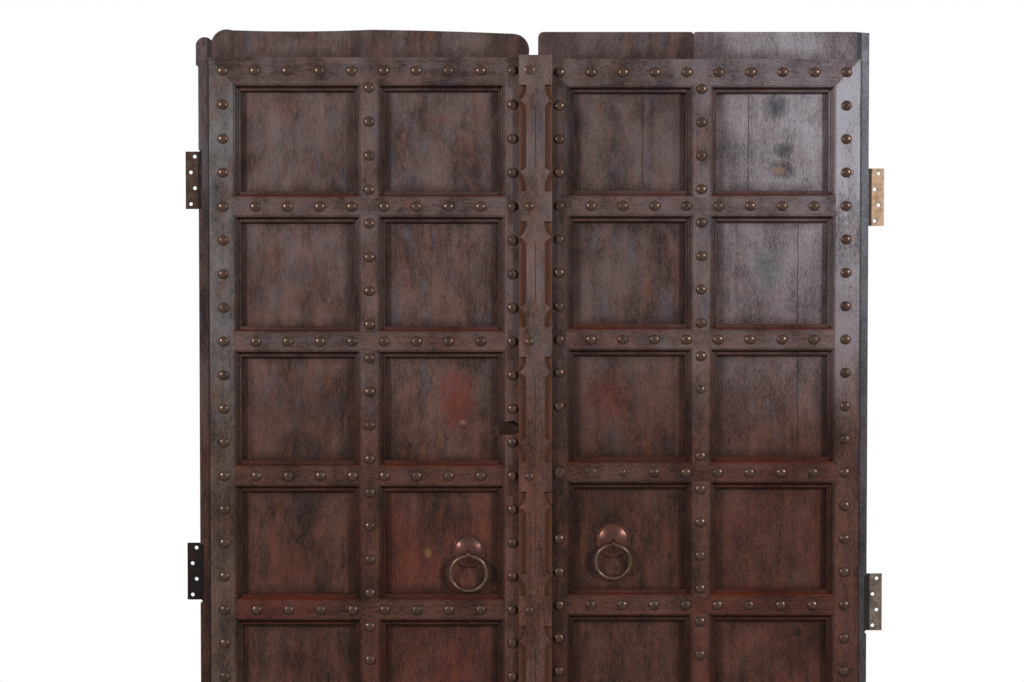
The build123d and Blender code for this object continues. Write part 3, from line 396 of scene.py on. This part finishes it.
def old_wood(name, grain, colours, seed, warmth=0.5, painted_sheen=0.0, deep=0.0, marks=(), splits=(),
             shade_and_dirt=None, panel=None, worn=0.0):
    """Aged wood. warmth reddens it, the sheen amount paints a silvery sheen on its upper right, deep darkens
    it, worn pales its edges with part wear and part painted highlight.
    """
    dark, light, warm, bloom_with_sheen, shade_and_dirt_colour = colours
    board = Board(name, grain, seed)
    colour = grain_colour(board, dark, light, warm, warmth)
    colour = weathered(board, colour, bloom_with_sheen, painted_sheen, deep)
    if panel:
        colour = panel_margin_shade(board, colour, panel)
    colour = shape_light_and_wear(board, colour, worn)
    if shade_and_dirt:
        # Painted shade with some dirt: in the corners beside the stiles, and on the strip's sunk ground with
        # its own browner colour
        colour = board.mix(board.times(board.level(*shade_and_dirt(board)), SHADE_AND_DIRT_STRENGTH), colour, shade_and_dirt_colour)
    colour = marked(board, colour, marks)
    opened = split_open(board, splits)
    if splits:
        colour = board.mix(board.times(opened, 0.8), colour, SPLIT_DARK)
    pores = board.level(board.pore, 0.58, 0.68)
    colour = board.mix(board.times(pores, 0.34), colour, PORE_DARK)

    board.put(board.shader.inputs["Base Color"], colour)
    board.put(board.shader.inputs["Roughness"], board.level(board.tone, 0.4, 0.6, 0.56, 0.4))
    board.shader.inputs["Specular IOR Level"].default_value = WOOD_SHEEN
    height = board.math("ADD", board.times(board.fibre, 0.55), board.times(board.thread, 0.25))
    height = board.math("SUBTRACT", height, board.times(pores, 0.2))
    height = board.math("SUBTRACT", height, board.times(opened, 0.6))
    board.relief(height, WOOD_RELIEF)
    return board.material


# %% [markdown]
# ## Colours of this door's timber
#
# The photograph shows the same timber in different states, so a finish is five colours: dark and
# light fibres, the warm red, the grey bloom with painted sheen, and the painted shade with dirt. The
# sheen and shade colours stand in for light, the others are colours under plain light. They were
# given and put right by comparing renders with the photograph.

# %% Timber colours
DARK = paint(34, 22, 20)
LIGHT = paint(98, 72, 63)
WARM = paint(104, 54, 39)
BLOOM_AND_SHEEN = paint(106, 97, 99)
BLUE_GREY_WITH_SHEEN = paint(104, 102, 108)
# The colour of the painted shade, with some dirt, in corners beside the stiles
CORNER_SHADE_AND_DIRT = paint(28, 18, 15)

BROWN = (DARK, LIGHT, WARM, BLOOM_AND_SHEEN, CORNER_SHADE_AND_DIRT)
GREYED = (DARK, LIGHT, WARM, BLUE_GREY_WITH_SHEEN, CORNER_SHADE_AND_DIRT)
UPRIGHT = (DARK, paint(107, 81, 73), WARM, BLOOM_AND_SHEEN, CORNER_SHADE_AND_DIRT)
HANDLED = (paint(20, 14, 14), paint(68, 52, 47), WARM, paint(68, 61, 60), CORNER_SHADE_AND_DIRT)
# Left outer stile: bleached grey, whose light greys also paint a grey sheen
BLEACHED_WITH_SHEEN = (paint(32, 25, 23), paint(108, 97, 92), paint(96, 66, 54), paint(112, 112, 114), CORNER_SHADE_AND_DIRT)
# Right edge board: its blue-silver colours paint the sheen of the right lamp on it
LAMP_SHEEN_BLUE = (paint(44, 46, 50), paint(108, 112, 120), paint(84, 66, 60), paint(124, 132, 142), CORNER_SHADE_AND_DIRT)
# The last strip colour is for its sunk ground: painted shade and the ground's own browner colour
STRIP_WOOD = (paint(44, 29, 24), paint(112, 86, 78), paint(118, 68, 48), BLOOM_AND_SHEEN, paint(84, 50, 34))

# %% [markdown]
# ## Where the marks are
#
# Knots and stains are part of how one knows this door; the dark marks beside the rings are painted
# shadows of the rings and bosses. Their places are given as the column and row at which the
# photograph shows them, and turned into metres with the scale of 1.75 mm a pixel.

# %% Places of the marks
PIXEL = 1.75 * MM
MIDDLE_COLUMN = 534
FOOT_ROW = 1182


def face_x(column):
    """X on the door's face of a column in the photograph."""
    return (column - MIDDLE_COLUMN) * PIXEL + MIDDLE_X


def face_z(row):
    """Height on the door's face of a row in the photograph."""
    return (FOOT_ROW - row) * PIXEL


def marks_at(*places):
    """Stains as column, row, half width and half height in mm, colour and strength."""
    return [(face_x(column), face_z(row), wide * MM, tall * MM, stain, strength)
            for column, row, wide, tall, stain, strength in places]


def splits_at(*places):
    """Splits as column, lower row and upper row."""
    return [(face_x(column), face_z(lower), face_z(upper)) for column, lower, upper in places]


RED_STAIN = paint(112, 46, 34)
GREEN_STAIN = paint(62, 80, 74)
PALE_SPOT = paint(140, 108, 92)
YELLOW_SPOT = paint(138, 104, 56)
KNOT = paint(24, 16, 15)
PAINTED_RING_SHADOW = paint(27, 17, 14)
BLUE_SMEAR = paint(54, 56, 62)

# The first three marks are painted shadows of the ring and boss
left_inner_marks = marks_at(
    (443, 577, 9, 36, PAINTED_RING_SHADOW, 0.8), (482, 574, 6, 26, PAINTED_RING_SHADOW, 0.8),
    (468, 565, 20, 7, PAINTED_RING_SHADOW, 0.7), (455, 400, 34, 58, RED_STAIN, 0.6),
    (463, 423, 6, 5, PALE_SPOT, 0.6), (427, 555, 7, 9, YELLOW_SPOT, 0.55),
    (470, 545, 46, 40, RED_STAIN, 0.25), (440, 120, 20, 9, WARM, 0.5))
left_outer_marks = marks_at(
    (290, 570, 40, 40, WARM, 0.3), (298, 412, 95, 95, KNOT, 0.22), (300, 275, 34, 20, BLUE_SMEAR, 0.35))
right_outer_marks = marks_at(
    (770, 268, 26, 38, GREEN_STAIN, 0.5), (777, 106, 24, 22, BLUE_SMEAR, 0.95),
    (783, 150, 17, 14, BLUE_SMEAR, 0.9), (783, 169, 25, 16, KNOT, 0.85),
    (779, 170, 14, 8, PALE_SPOT, 0.8), (800, 635, 8, 11, KNOT, 0.9))
# The first three marks are painted shadows of the ring and boss
right_inner_marks = marks_at(
    (591, 563, 9, 36, PAINTED_RING_SHADOW, 0.8), (627, 561, 7, 26, PAINTED_RING_SHADOW, 0.8),
    (612, 556, 20, 6, PAINTED_RING_SHADOW, 0.6), (615, 117, 14, 20, KNOT, 0.55), (613, 176, 12, 16, KNOT, 0.5),
    (620, 404, 8, 10, KNOT, 0.6), (588, 638, 6, 9, KNOT, 0.7), (606, 400, 46, 50, RED_STAIN, 0.25))
print("marks", sum(map(len, (left_inner_marks, left_outer_marks, right_outer_marks, right_inner_marks))))

# %% [markdown]
# ## Where the painted shade and the panels are
#
# The strip is darker down on its carved ground: painted shade in the recess and partly the ground's
# own browner colour. The edge boards get a painted shade, with some dirt, in the corner against the
# stiles. The painted shade of the panel margins needs each column's middle and width and the spacing
# of its rails, and all of these can be read from the boxes of the solids.

# %% Painted shade and panels from the solids
def strip_ground(board):
    """The cover strip is darker down on its ground, between the raised parts: painted shade in the recess and
    partly the ground's own browner colour.
    """
    return board.y, STRIP_Y + 2.5 * MM, STRIP_Y + 5.5 * MM


def beside(stile, side):
    """Painted shade, with some dirt, in the corner between a board's face and one side of a stile, 0 for left
    and 1 for right.
    """
    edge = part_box(stile)[side][0]

    def corner(board):
        return board.apart(board.x, edge), 6.5 * MM, 3.6 * MM
    return corner


def panel_of(side, inner):
    """Middle and half width of one column of panels, and a rail's height and spacing."""
    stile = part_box(side + ("_meeting_stile" if inner else "_outer_stile"))
    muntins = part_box(side + "_muntins")
    stile_is_left = stile[0][0] < muntins[0][0]
    low = stile[1][0] if stile_is_left else muntins[1][0]
    high = muntins[0][0] if stile_is_left else stile[0][0]
    upper, lower = [(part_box(side + "_rail_" + number)[0][2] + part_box(side + "_rail_" + number)[1][2]) / 2
                    for number in ("1", "7")]
    print(side, "inner" if inner else "outer", "panels", round(low, 4), "to", round(high, 4))
    return (low + high) / 2, (high - low) / 2, lower, (upper - lower) / 6


# %% [markdown]
# ## Which wood goes where
#
# The outer stile of the left leaf has bleached grey under a painted grey sheen, and that of the right
# leaf carries a painted silvery sheen. The right edge board is painted with the bluish sheen of the
# right lamp, the right meeting stile is almost black with handling, and the strip has kept some brown.
# Each finish gets its own seed, so that the grain doesn't run through from one board into the next.

# %% Wood finishes
wood = {
    "left_edge": old_wood("left edge board", "upright", GREYED, 3.1, 0.3, shade_and_dirt=beside("left_outer_stile", 0)),
    "left_outer": old_wood("left outer board", "upright", BROWN, 7.7, 0.45, marks=left_outer_marks,
                           panel=panel_of("left", False)),
    "left_inner": old_wood("left inner board", "upright", BROWN, 12.9, 0.6, marks=left_inner_marks,
                           panel=panel_of("left", True)),
    "right_inner": old_wood("right inner board", "upright", BROWN, 21.3, 0.55, deep=0.16,
                            panel=panel_of("right", True), marks=right_inner_marks,
                            splits=splits_at((643, 192, 90))),
    "right_outer": old_wood("right outer board", "upright", BROWN, 28.1, 0.5, 0.9,
                            panel=panel_of("right", False), marks=right_outer_marks,
                            splits=splits_at((749, 192, 90), (799, 458, 218))),
    "right_edge": old_wood("right edge board", "upright", LAMP_SHEEN_BLUE, 33.7, 0.3, 0.35,
                           shade_and_dirt=beside("right_outer_stile", 1)),
    "rails": old_wood("level rails", "level", BROWN, 41.9, 0.55, 0.3, 0.05),
    "uprights": old_wood("stiles and muntins", "upright", UPRIGHT, 55.3, 0.45, 0.3),
    "left_outer_stile": old_wood("blue-grey stile", "upright", BLEACHED_WITH_SHEEN, 61.1, 0.35),
    "right_outer_stile": old_wood("silvery stile", "upright", BROWN, 63.5, 0.45, 1.3),
    "right_meeting_stile": old_wood("handled stile", "upright", HANDLED, 67.7, 0.35),
    "cover_strip": old_wood("cover strip", "upright", STRIP_WOOD, 73.3, 0.6, shade_and_dirt=strip_ground, worn=0.75),
}


def wood_for(name):
    """The wood finish of one CAD piece, or nothing if it isn't wood."""
    if name in wood:
        return wood[name]
    if name.endswith("_board"):
        return wood[name.removesuffix("_board")]
    if "rail" in name:
        return wood["rails"]
    if "stile" in name or "muntins" in name:
        return wood["uprights"]
    return None


# %% [markdown]
# ## Softened edges
#
# A sawn solid has edges sharper than any old door. A Weld modifier joins the loose triangles of the
# CAD mesh, and a narrow Bevel then rounds what is left sharp, without touching the mesh itself.

# %% Dress the wooden pieces
EDGE_ROUNDING = 0.7 * MM
STRIP_ROUNDING = 1.1 * MM


def soften(piece, width):
    """Rounds the sharp edges of a CAD piece with modifiers alone."""
    weld = piece.modifiers.new("joined", "WELD")
    weld.merge_threshold = 0.01 * MM
    bevel = piece.modifiers.new("rubbed edges", "BEVEL")
    bevel.width = width
    bevel.segments = 2
    bevel.limit_method = "ANGLE"
    bevel.angle_limit = math.radians(40)


dressed = 0
for name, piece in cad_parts.items():
    material = wood_for(name)
    if material:
        piece.material_slots[0].material = material
        soften(piece, STRIP_ROUNDING if name == "cover_strip" else EDGE_ROUNDING)
        dressed += 1
print("wooden pieces dressed", dressed)

# %% [markdown]
# ## Old iron
#
# The studs, rings and bosses are iron under a brown skin that hands have polished. A plain gloss would
# lay the white room over them as a grey film. So most of the shine is given as metal, whose own brown
# tints what it mirrors, and rust takes that away in patches. The bump adds a little hammering.

# %% The iron recipe
PIT_DARK = paint(20, 14, 12)
SHADE_AND_GRIME_DARK = paint(16, 11, 10)
SHADE_AND_GRIME_X = 0.5965


def old_iron(name, bare, skin, seed, shine=0.5, gloss=0.2, rust=0.5, metal=0.2, shade_and_grime_x=None):
    """Iron under a skin of oil. shine is how rough it is, rust how much is dull; inside the given x limit it
    is darkened by painted shade and grime.
    """
    finish = Finish(name)
    blotch = finish.noise((95, 95, 95), seed, 3.0)
    wide = finish.noise((19, 19, 19), seed + 3, 2.0)
    pits = finish.noise((700, 700, 700), seed + 6, 2.0, 0.6)
    mixed = finish.math("ADD", finish.times(blotch, 0.6), finish.times(wide, 0.4))
    dull = finish.level(mixed, 0.62 - rust * 0.3, 0.74 - rust * 0.3)
    colour = finish.mix(dull, bare, skin)
    colour = finish.mix(finish.level(pits, 0.58, 0.7, 0.0, 0.5), colour, PIT_DARK)
    # Painted shade, with grime, where the plate passes behind the leaf
    if shade_and_grime_x:
        shade_and_grime = finish.level(finish.math("ABSOLUTE", finish.x), shade_and_grime_x, shade_and_grime_x + 0.5 * MM, 0.9, 0.0)
        colour = finish.mix(shade_and_grime, colour, SHADE_AND_GRIME_DARK)
    finish.put(finish.shader.inputs["Base Color"], colour)
    finish.put(finish.shader.inputs["Metallic"], finish.level(dull, 0.0, 1.0, metal, metal * 0.7))
    finish.put(finish.shader.inputs["Roughness"], finish.level(dull, 0.0, 1.0, shine, shine + 0.14))
    finish.shader.inputs["Specular IOR Level"].default_value = gloss
    finish.relief(finish.math("ADD", finish.times(blotch, 0.7), finish.times(pits, 0.3)), 0.3 * MM)
    return finish.material


def hinge_steel(name, bare, skin, seed, gloss=0.2, rust=0.5):
    """The steel of one hinge, darkened by painted shade and grime where its plate passes behind the leaf."""
    return old_iron(name, bare, skin, seed, gloss=gloss, rust=rust, shade_and_grime_x=SHADE_AND_GRIME_X)


# %% [markdown]
# ## Which iron goes where
#
# Studs and rings are dark brown and the bosses redder. The four hinge plates that the photograph
# shows differ: brown and nearly black on the left, brassy and grey on the right. The lowest hinges
# can't be seen, so they take the finish of the middle ones.

# %% Iron finishes
stud_iron = old_iron("stud iron", paint(78, 59, 50), paint(54, 39, 33), 2.2, 0.28, 0.26, metal=0.7)
ring_iron = old_iron("ring iron", paint(96, 76, 65), paint(68, 52, 44), 9.4, 0.3, 0.24, metal=0.65)
boss_iron = old_iron("boss iron", paint(80, 48, 39), paint(58, 33, 26), 14.6, 0.33, 0.36, metal=0.7)
plate_steel = {
    ("left", "top"): hinge_steel("brown hinge steel", paint(84, 62, 54), paint(64, 44, 38), 31.0, rust=0.7),
    ("left", "mid"): hinge_steel("dark hinge steel", paint(40, 28, 24), paint(26, 17, 15), 35.0, 0.15, 0.7),
    ("right", "top"): hinge_steel("brassy hinge steel", paint(200, 168, 142), paint(170, 138, 112), 39.0),
    ("right", "mid"): hinge_steel("grey hinge steel", paint(128, 114, 104), paint(98, 86, 78), 43.0,
                                  rust=0.6),
}
ironwork = 0
for name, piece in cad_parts.items():
    side = name.split("_")[0]
    height = "top" if name.endswith("_top") else "mid"
    if "plate" in name or "hinge" in name:
        piece.material_slots[0].material = plate_steel[side, height]
    elif "boss" in name or "split_pin" in name:
        piece.material_slots[0].material = boss_iron
    elif "ring" in name or "studs" in name:
        piece.material_slots[0].material = stud_iron
    else:
        continue
    ironwork += 1
print("iron pieces dressed", ironwork)

# %% [markdown]
# ## Making pieces
#
# A forged piece is made as a bmesh and then handed over: its object stays at the origin and its place
# is in its mesh, just as with the CAD pieces. It is parented to the body it rides on, and the solid it
# stands in for is hidden.

# %% Handing a mesh over
SHARP_FROM = math.radians(48)


def hand_over(name, shape, material, body, stands_for):
    """Turns a finished bmesh into a piece of the door."""
    bmesh.ops.recalc_face_normals(shape, faces=shape.faces)
    mesh = bpy.data.meshes.new(name)
    shape.to_mesh(mesh)
    shape.free()
    mesh.shade_smooth()
    mesh.set_sharp_from_angle(angle=SHARP_FROM)
    piece = bpy.data.objects.new(name, mesh)
    bpy.context.scene.collection.objects.link(piece)
    mesh.materials.append(material)
    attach(piece, body)
    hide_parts(stands_for)
    print(name, "faces", len(mesh.polygons))
    return piece


def separate_boxes(node):
    """The box of each loose solid in a CAD node, read from a merged copy of its mesh."""
    copy = bmesh.new()
    copy.from_mesh(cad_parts[node].data)
    bmesh.ops.remove_doubles(copy, verts=copy.verts, dist=0.001 * MM)
    waiting = set(copy.verts)
    boxes = []
    while waiting:
        group = [waiting.pop()]
        for vertex in group:
            for edge in vertex.link_edges:
                other = edge.other_vert(vertex)
                if other in waiting:
                    waiting.remove(other)
                    group.append(other)
        low = Vector(min(v.co[axis] for v in group) for axis in range(3))
        high = Vector(max(v.co[axis] for v in group) for axis in range(3))
        boxes.append((low, high))
    copy.free()
    return sorted(boxes, key=lambda pair: (round(pair[0].z, 4), pair[0].x))


# %% [markdown]
# ## Studs
#
# Each stud is a nail with a head hammered into a low dome. A full sphere would cost hundreds of faces
# and look turned on a lathe. A quarter outline of five points spun round in fourteen steps gives a
# few dozen faces, and a little unevenness in every head makes them forged. There are over three
# hundred, so all those of a leaf share one mesh. A few heads on the right leaf are flat or broken.

# %% Forge one stud
SHANK = 5 * MM
HEAD_STEPS = 14
FLAT_UNDER = 1.8 * MM
FLAT_OUTLINE = [(0.0, 1.0), (0.55, 1.0), (0.9, 0.95), (1.0, 0.6), (1.0, 0.0)]
DOME_TURNS = (0.0, 0.42, 0.82, 1.18)
DENTS_PER_METRE = 230


def dome_outline():
    """Half the outline of a dome as (out, up), with its foot brought down to the seat."""
    outline = [(math.sin(turn), math.cos(turn)) for turn in DOME_TURNS] + [(1.0, 0.0)]
    return [(out, (up - 0.1) / 0.9 if up > 0.1 else 0.0) for out, up in outline]


def forge_stud(low, high, seat_y, rough):
    """One head with its square shank as a mesh of its own, inside the box of its solid."""
    shape = bmesh.new()
    middle = Vector(((low.x + high.x) / 2, seat_y, (low.z + high.z) / 2))
    radius = (high.x - low.x) / 2
    height = seat_y - low.y
    outline = FLAT_OUTLINE if height < FLAT_UNDER else dome_outline()
    points = [shape.verts.new((middle.x + out * radius, seat_y - up * height, middle.z))
              for out, up in outline]
    edges = [shape.edges.new(pair) for pair in zip(points, points[1:])]
    bmesh.ops.spin(shape, geom=points + edges, cent=middle, axis=(0, 1, 0), angle=math.tau,
                   steps=HEAD_STEPS, use_merge=True)
    bmesh.ops.remove_doubles(shape, verts=shape.verts, dist=0.05 * MM)
    for vertex in shape.verts:
        dent = 1 - 0.5 * rough * (1 + noise.noise(vertex.co * DENTS_PER_METRE))
        vertex.co.x = middle.x + (vertex.co.x - middle.x) * dent
        vertex.co.z = middle.z + (vertex.co.z - middle.z) * dent
        vertex.co.y = seat_y + (vertex.co.y - seat_y) * dent
    depth = high.y - seat_y
    place = Matrix.Translation((middle.x, seat_y + depth / 2, middle.z))
    bmesh.ops.create_cube(shape, size=1.0, matrix=place @ Matrix.Diagonal((SHANK, depth, SHANK, 1)))
    mesh = bpy.data.meshes.new("one stud")
    shape.to_mesh(mesh)
    shape.free()
    return mesh


# %% Forge them all
BROKEN_AT = (face_x(621), face_z(473))
BROKEN_WITHIN = 9 * MM
BROKEN_ROUGH = 0.22
WORN_ROUGH = 0.035


def forge_studs(node, body, seat_y):
    """Every stud of one CAD node as one piece."""
    shape = bmesh.new()
    for low, high in separate_boxes(node):
        broken = math.dist(BROKEN_AT, ((low.x + high.x) / 2, (low.z + high.z) / 2)) < BROKEN_WITHIN
        one = forge_stud(low, high, seat_y, BROKEN_ROUGH if broken else WORN_ROUGH)
        shape.from_mesh(one)
        bpy.data.meshes.remove(one)
    return hand_over(node + "_forged", shape, stud_iron, body, node)


forge_studs("left_studs", "left_leaf", FACE_Y)
forge_studs("right_studs", "right_leaf", FACE_Y)
forge_studs("cover_strip_studs", "left_leaf", STRIP_Y)

# %% [markdown]
# ## Ring handles
#
# Each ring was bent from a rod and closed by eye, so the rod isn't even, and it is thinner where the
# eye has worn it. A circle is spun about the ring's middle, the rod is swollen and pinched a little
# with noise, and the ring is leaned back to where the solid has it.

# %% Bend the rings
ROD = 6.6 * MM
ROD_SEGMENTS = 12
RING_STEPS = 56
WORN_AT_EYE = 0.08


def bend_ring(side):
    """One hand-made ring in the place of its solid."""
    low, high = (Vector(corner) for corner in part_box(side + "_ring"))
    hoop = (high.x - low.x - ROD) / 2
    lean = math.asin((high.y - low.y - ROD) / (2 * hoop))
    pivot = Vector(((low.x + high.x) / 2, low.y + ROD / 2, high.z - ROD / 2))
    shape = bmesh.new()
    rod = bmesh.ops.create_circle(shape, segments=ROD_SEGMENTS, radius=ROD / 2,
                                  matrix=Matrix.Translation((hoop, 0, 0)))["verts"]
    edges = list({edge for vertex in rod for edge in vertex.link_edges})
    bmesh.ops.spin(shape, geom=rod + edges, cent=(0, 0, 0), axis=(0, 1, 0), angle=math.tau,
                   steps=RING_STEPS, use_merge=True)
    bmesh.ops.remove_doubles(shape, verts=shape.verts, dist=0.02 * MM)
    for vertex in shape.verts:
        turn = math.atan2(vertex.co.z, vertex.co.x)
        centre = Vector((math.cos(turn) * hoop, 0, math.sin(turn) * hoop))
        swell = 0.97 + 0.03 * noise.noise(vertex.co * 60 + Vector((0, 0, hoop * 900)))
        worn = 1 - WORN_AT_EYE * max(0.0, math.sin(turn)) ** 24
        vertex.co = centre + (vertex.co - centre) * swell * worn
    place = Matrix.Translation(pivot) @ Matrix.Rotation(lean, 4, "X") @ Matrix.Translation((0, 0, -hoop))
    bmesh.ops.transform(shape, matrix=place, verts=shape.verts)
    print(side, "ring hoop", round(hoop / MM, 1), "lean", round(math.degrees(lean), 1))
    return hand_over(side + "_ring_forged", shape, ring_iron, side + "_ring_body", side + "_ring")


for side in ("left", "right"):
    bend_ring(side)

# %% [markdown]
# ## Floor and white room
#
# The photograph shows the door cut out on white. The background is therefore white where the camera
# or a reflection sees it. For everything else it is kept low, as a little fill light, so that the
# shadows stay dark. The floor is only large enough to carry the shadows.

# %% Floor and world
FLOOR_REACH = 2.6
FILL_LIGHT = 0.12

floor_shape = bmesh.new()
bmesh.ops.create_grid(floor_shape, x_segments=1, y_segments=1, size=FLOOR_REACH)
floor_mesh = bpy.data.meshes.new("floor")
floor_shape.to_mesh(floor_mesh)
floor_shape.free()
floor = bpy.data.objects.new("floor", floor_mesh)
bpy.context.scene.collection.objects.link(floor)
pale = Finish("pale floor")
pale.shader.inputs["Base Color"].default_value = paint(232, 232, 230)
pale.shader.inputs["Roughness"].default_value = 0.9
floor_mesh.materials.append(pale.material)

world = bpy.data.worlds.new("white room")
bpy.context.scene.world = world
world.use_nodes = True
sky = world.node_tree
background = sky.nodes["Background"]
path = sky.nodes.new("ShaderNodeLightPath")
seen = path.outputs["Is Camera Ray"]
for other in ("Is Glossy Ray", "Is Transmission Ray"):
    both = sky.nodes.new("ShaderNodeMath")
    both.operation = "MAXIMUM"
    sky.links.new(seen, both.inputs[0])
    sky.links.new(path.outputs[other], both.inputs[1])
    seen = both.outputs[0]
strength = sky.nodes.new("ShaderNodeMapRange")
sky.links.new(seen, strength.inputs[0])
strength.inputs["To Min"].default_value = FILL_LIGHT
strength.inputs["To Max"].default_value = 1.0
sky.links.new(strength.outputs[0], background.inputs["Strength"])
background.inputs["Color"].default_value = (1, 1, 1, 1)
print("floor reaches", FLOOR_REACH, "fill light", FILL_LIGHT)

# %% [markdown]
# ## Lamps and camera
#
# The shadows beside the mouldings are wide and crisp on both sides, and those under the rails are
# short. So there is a small lamp well out on each side, about a metre above the middle of what the
# photograph shows. The camera stands where lines of the door and of the photograph fall together.

# %% Lamps and camera
LIT_POINT = Vector((0, 0, 1.45))
LAMP_OUT = 3.0
LAMP_FORWARD = 2.0
LAMP_HEIGHT = 2.5
LAMP_SIZE = 0.24


def lamp(name, x, watts):
    """A square lamp that points at the middle of what the photograph shows."""
    place = Vector((x, -LAMP_FORWARD, LAMP_HEIGHT))
    light = bpy.data.lights.new(name, "AREA")
    light.energy = watts
    light.size = LAMP_SIZE
    holder = bpy.data.objects.new(name, light)
    holder.location = place
    holder.rotation_euler = (LIT_POINT - place).to_track_quat("-Z", "Y").to_euler()
    bpy.context.scene.collection.objects.link(holder)
    print(name, "distance", round((LIT_POINT - place).length, 2))


lamp("left lamp", -LAMP_OUT, 100)
lamp("right lamp", LAMP_OUT, 109)

LENS = 70.3
SENSOR = 36
CAMERA_LEFT = 0.0385
CAMERA_BACK = 3.5
CAMERA_HEIGHT = 1.576
CAMERA_DIP = 1.7

camera_data = bpy.data.cameras.new("camera")
camera_data.lens = LENS
camera_data.sensor_width = SENSOR
camera = bpy.data.objects.new("camera", camera_data)
camera.location = (MIDDLE_X - CAMERA_LEFT, FACE_Y - CAMERA_BACK, CAMERA_HEIGHT)
camera.rotation_euler = (math.radians(90 - CAMERA_DIP), 0, 0)
bpy.context.scene.collection.objects.link(camera)
bpy.context.scene.camera = camera
bpy.context.scene.view_settings.view_transform = "Standard"
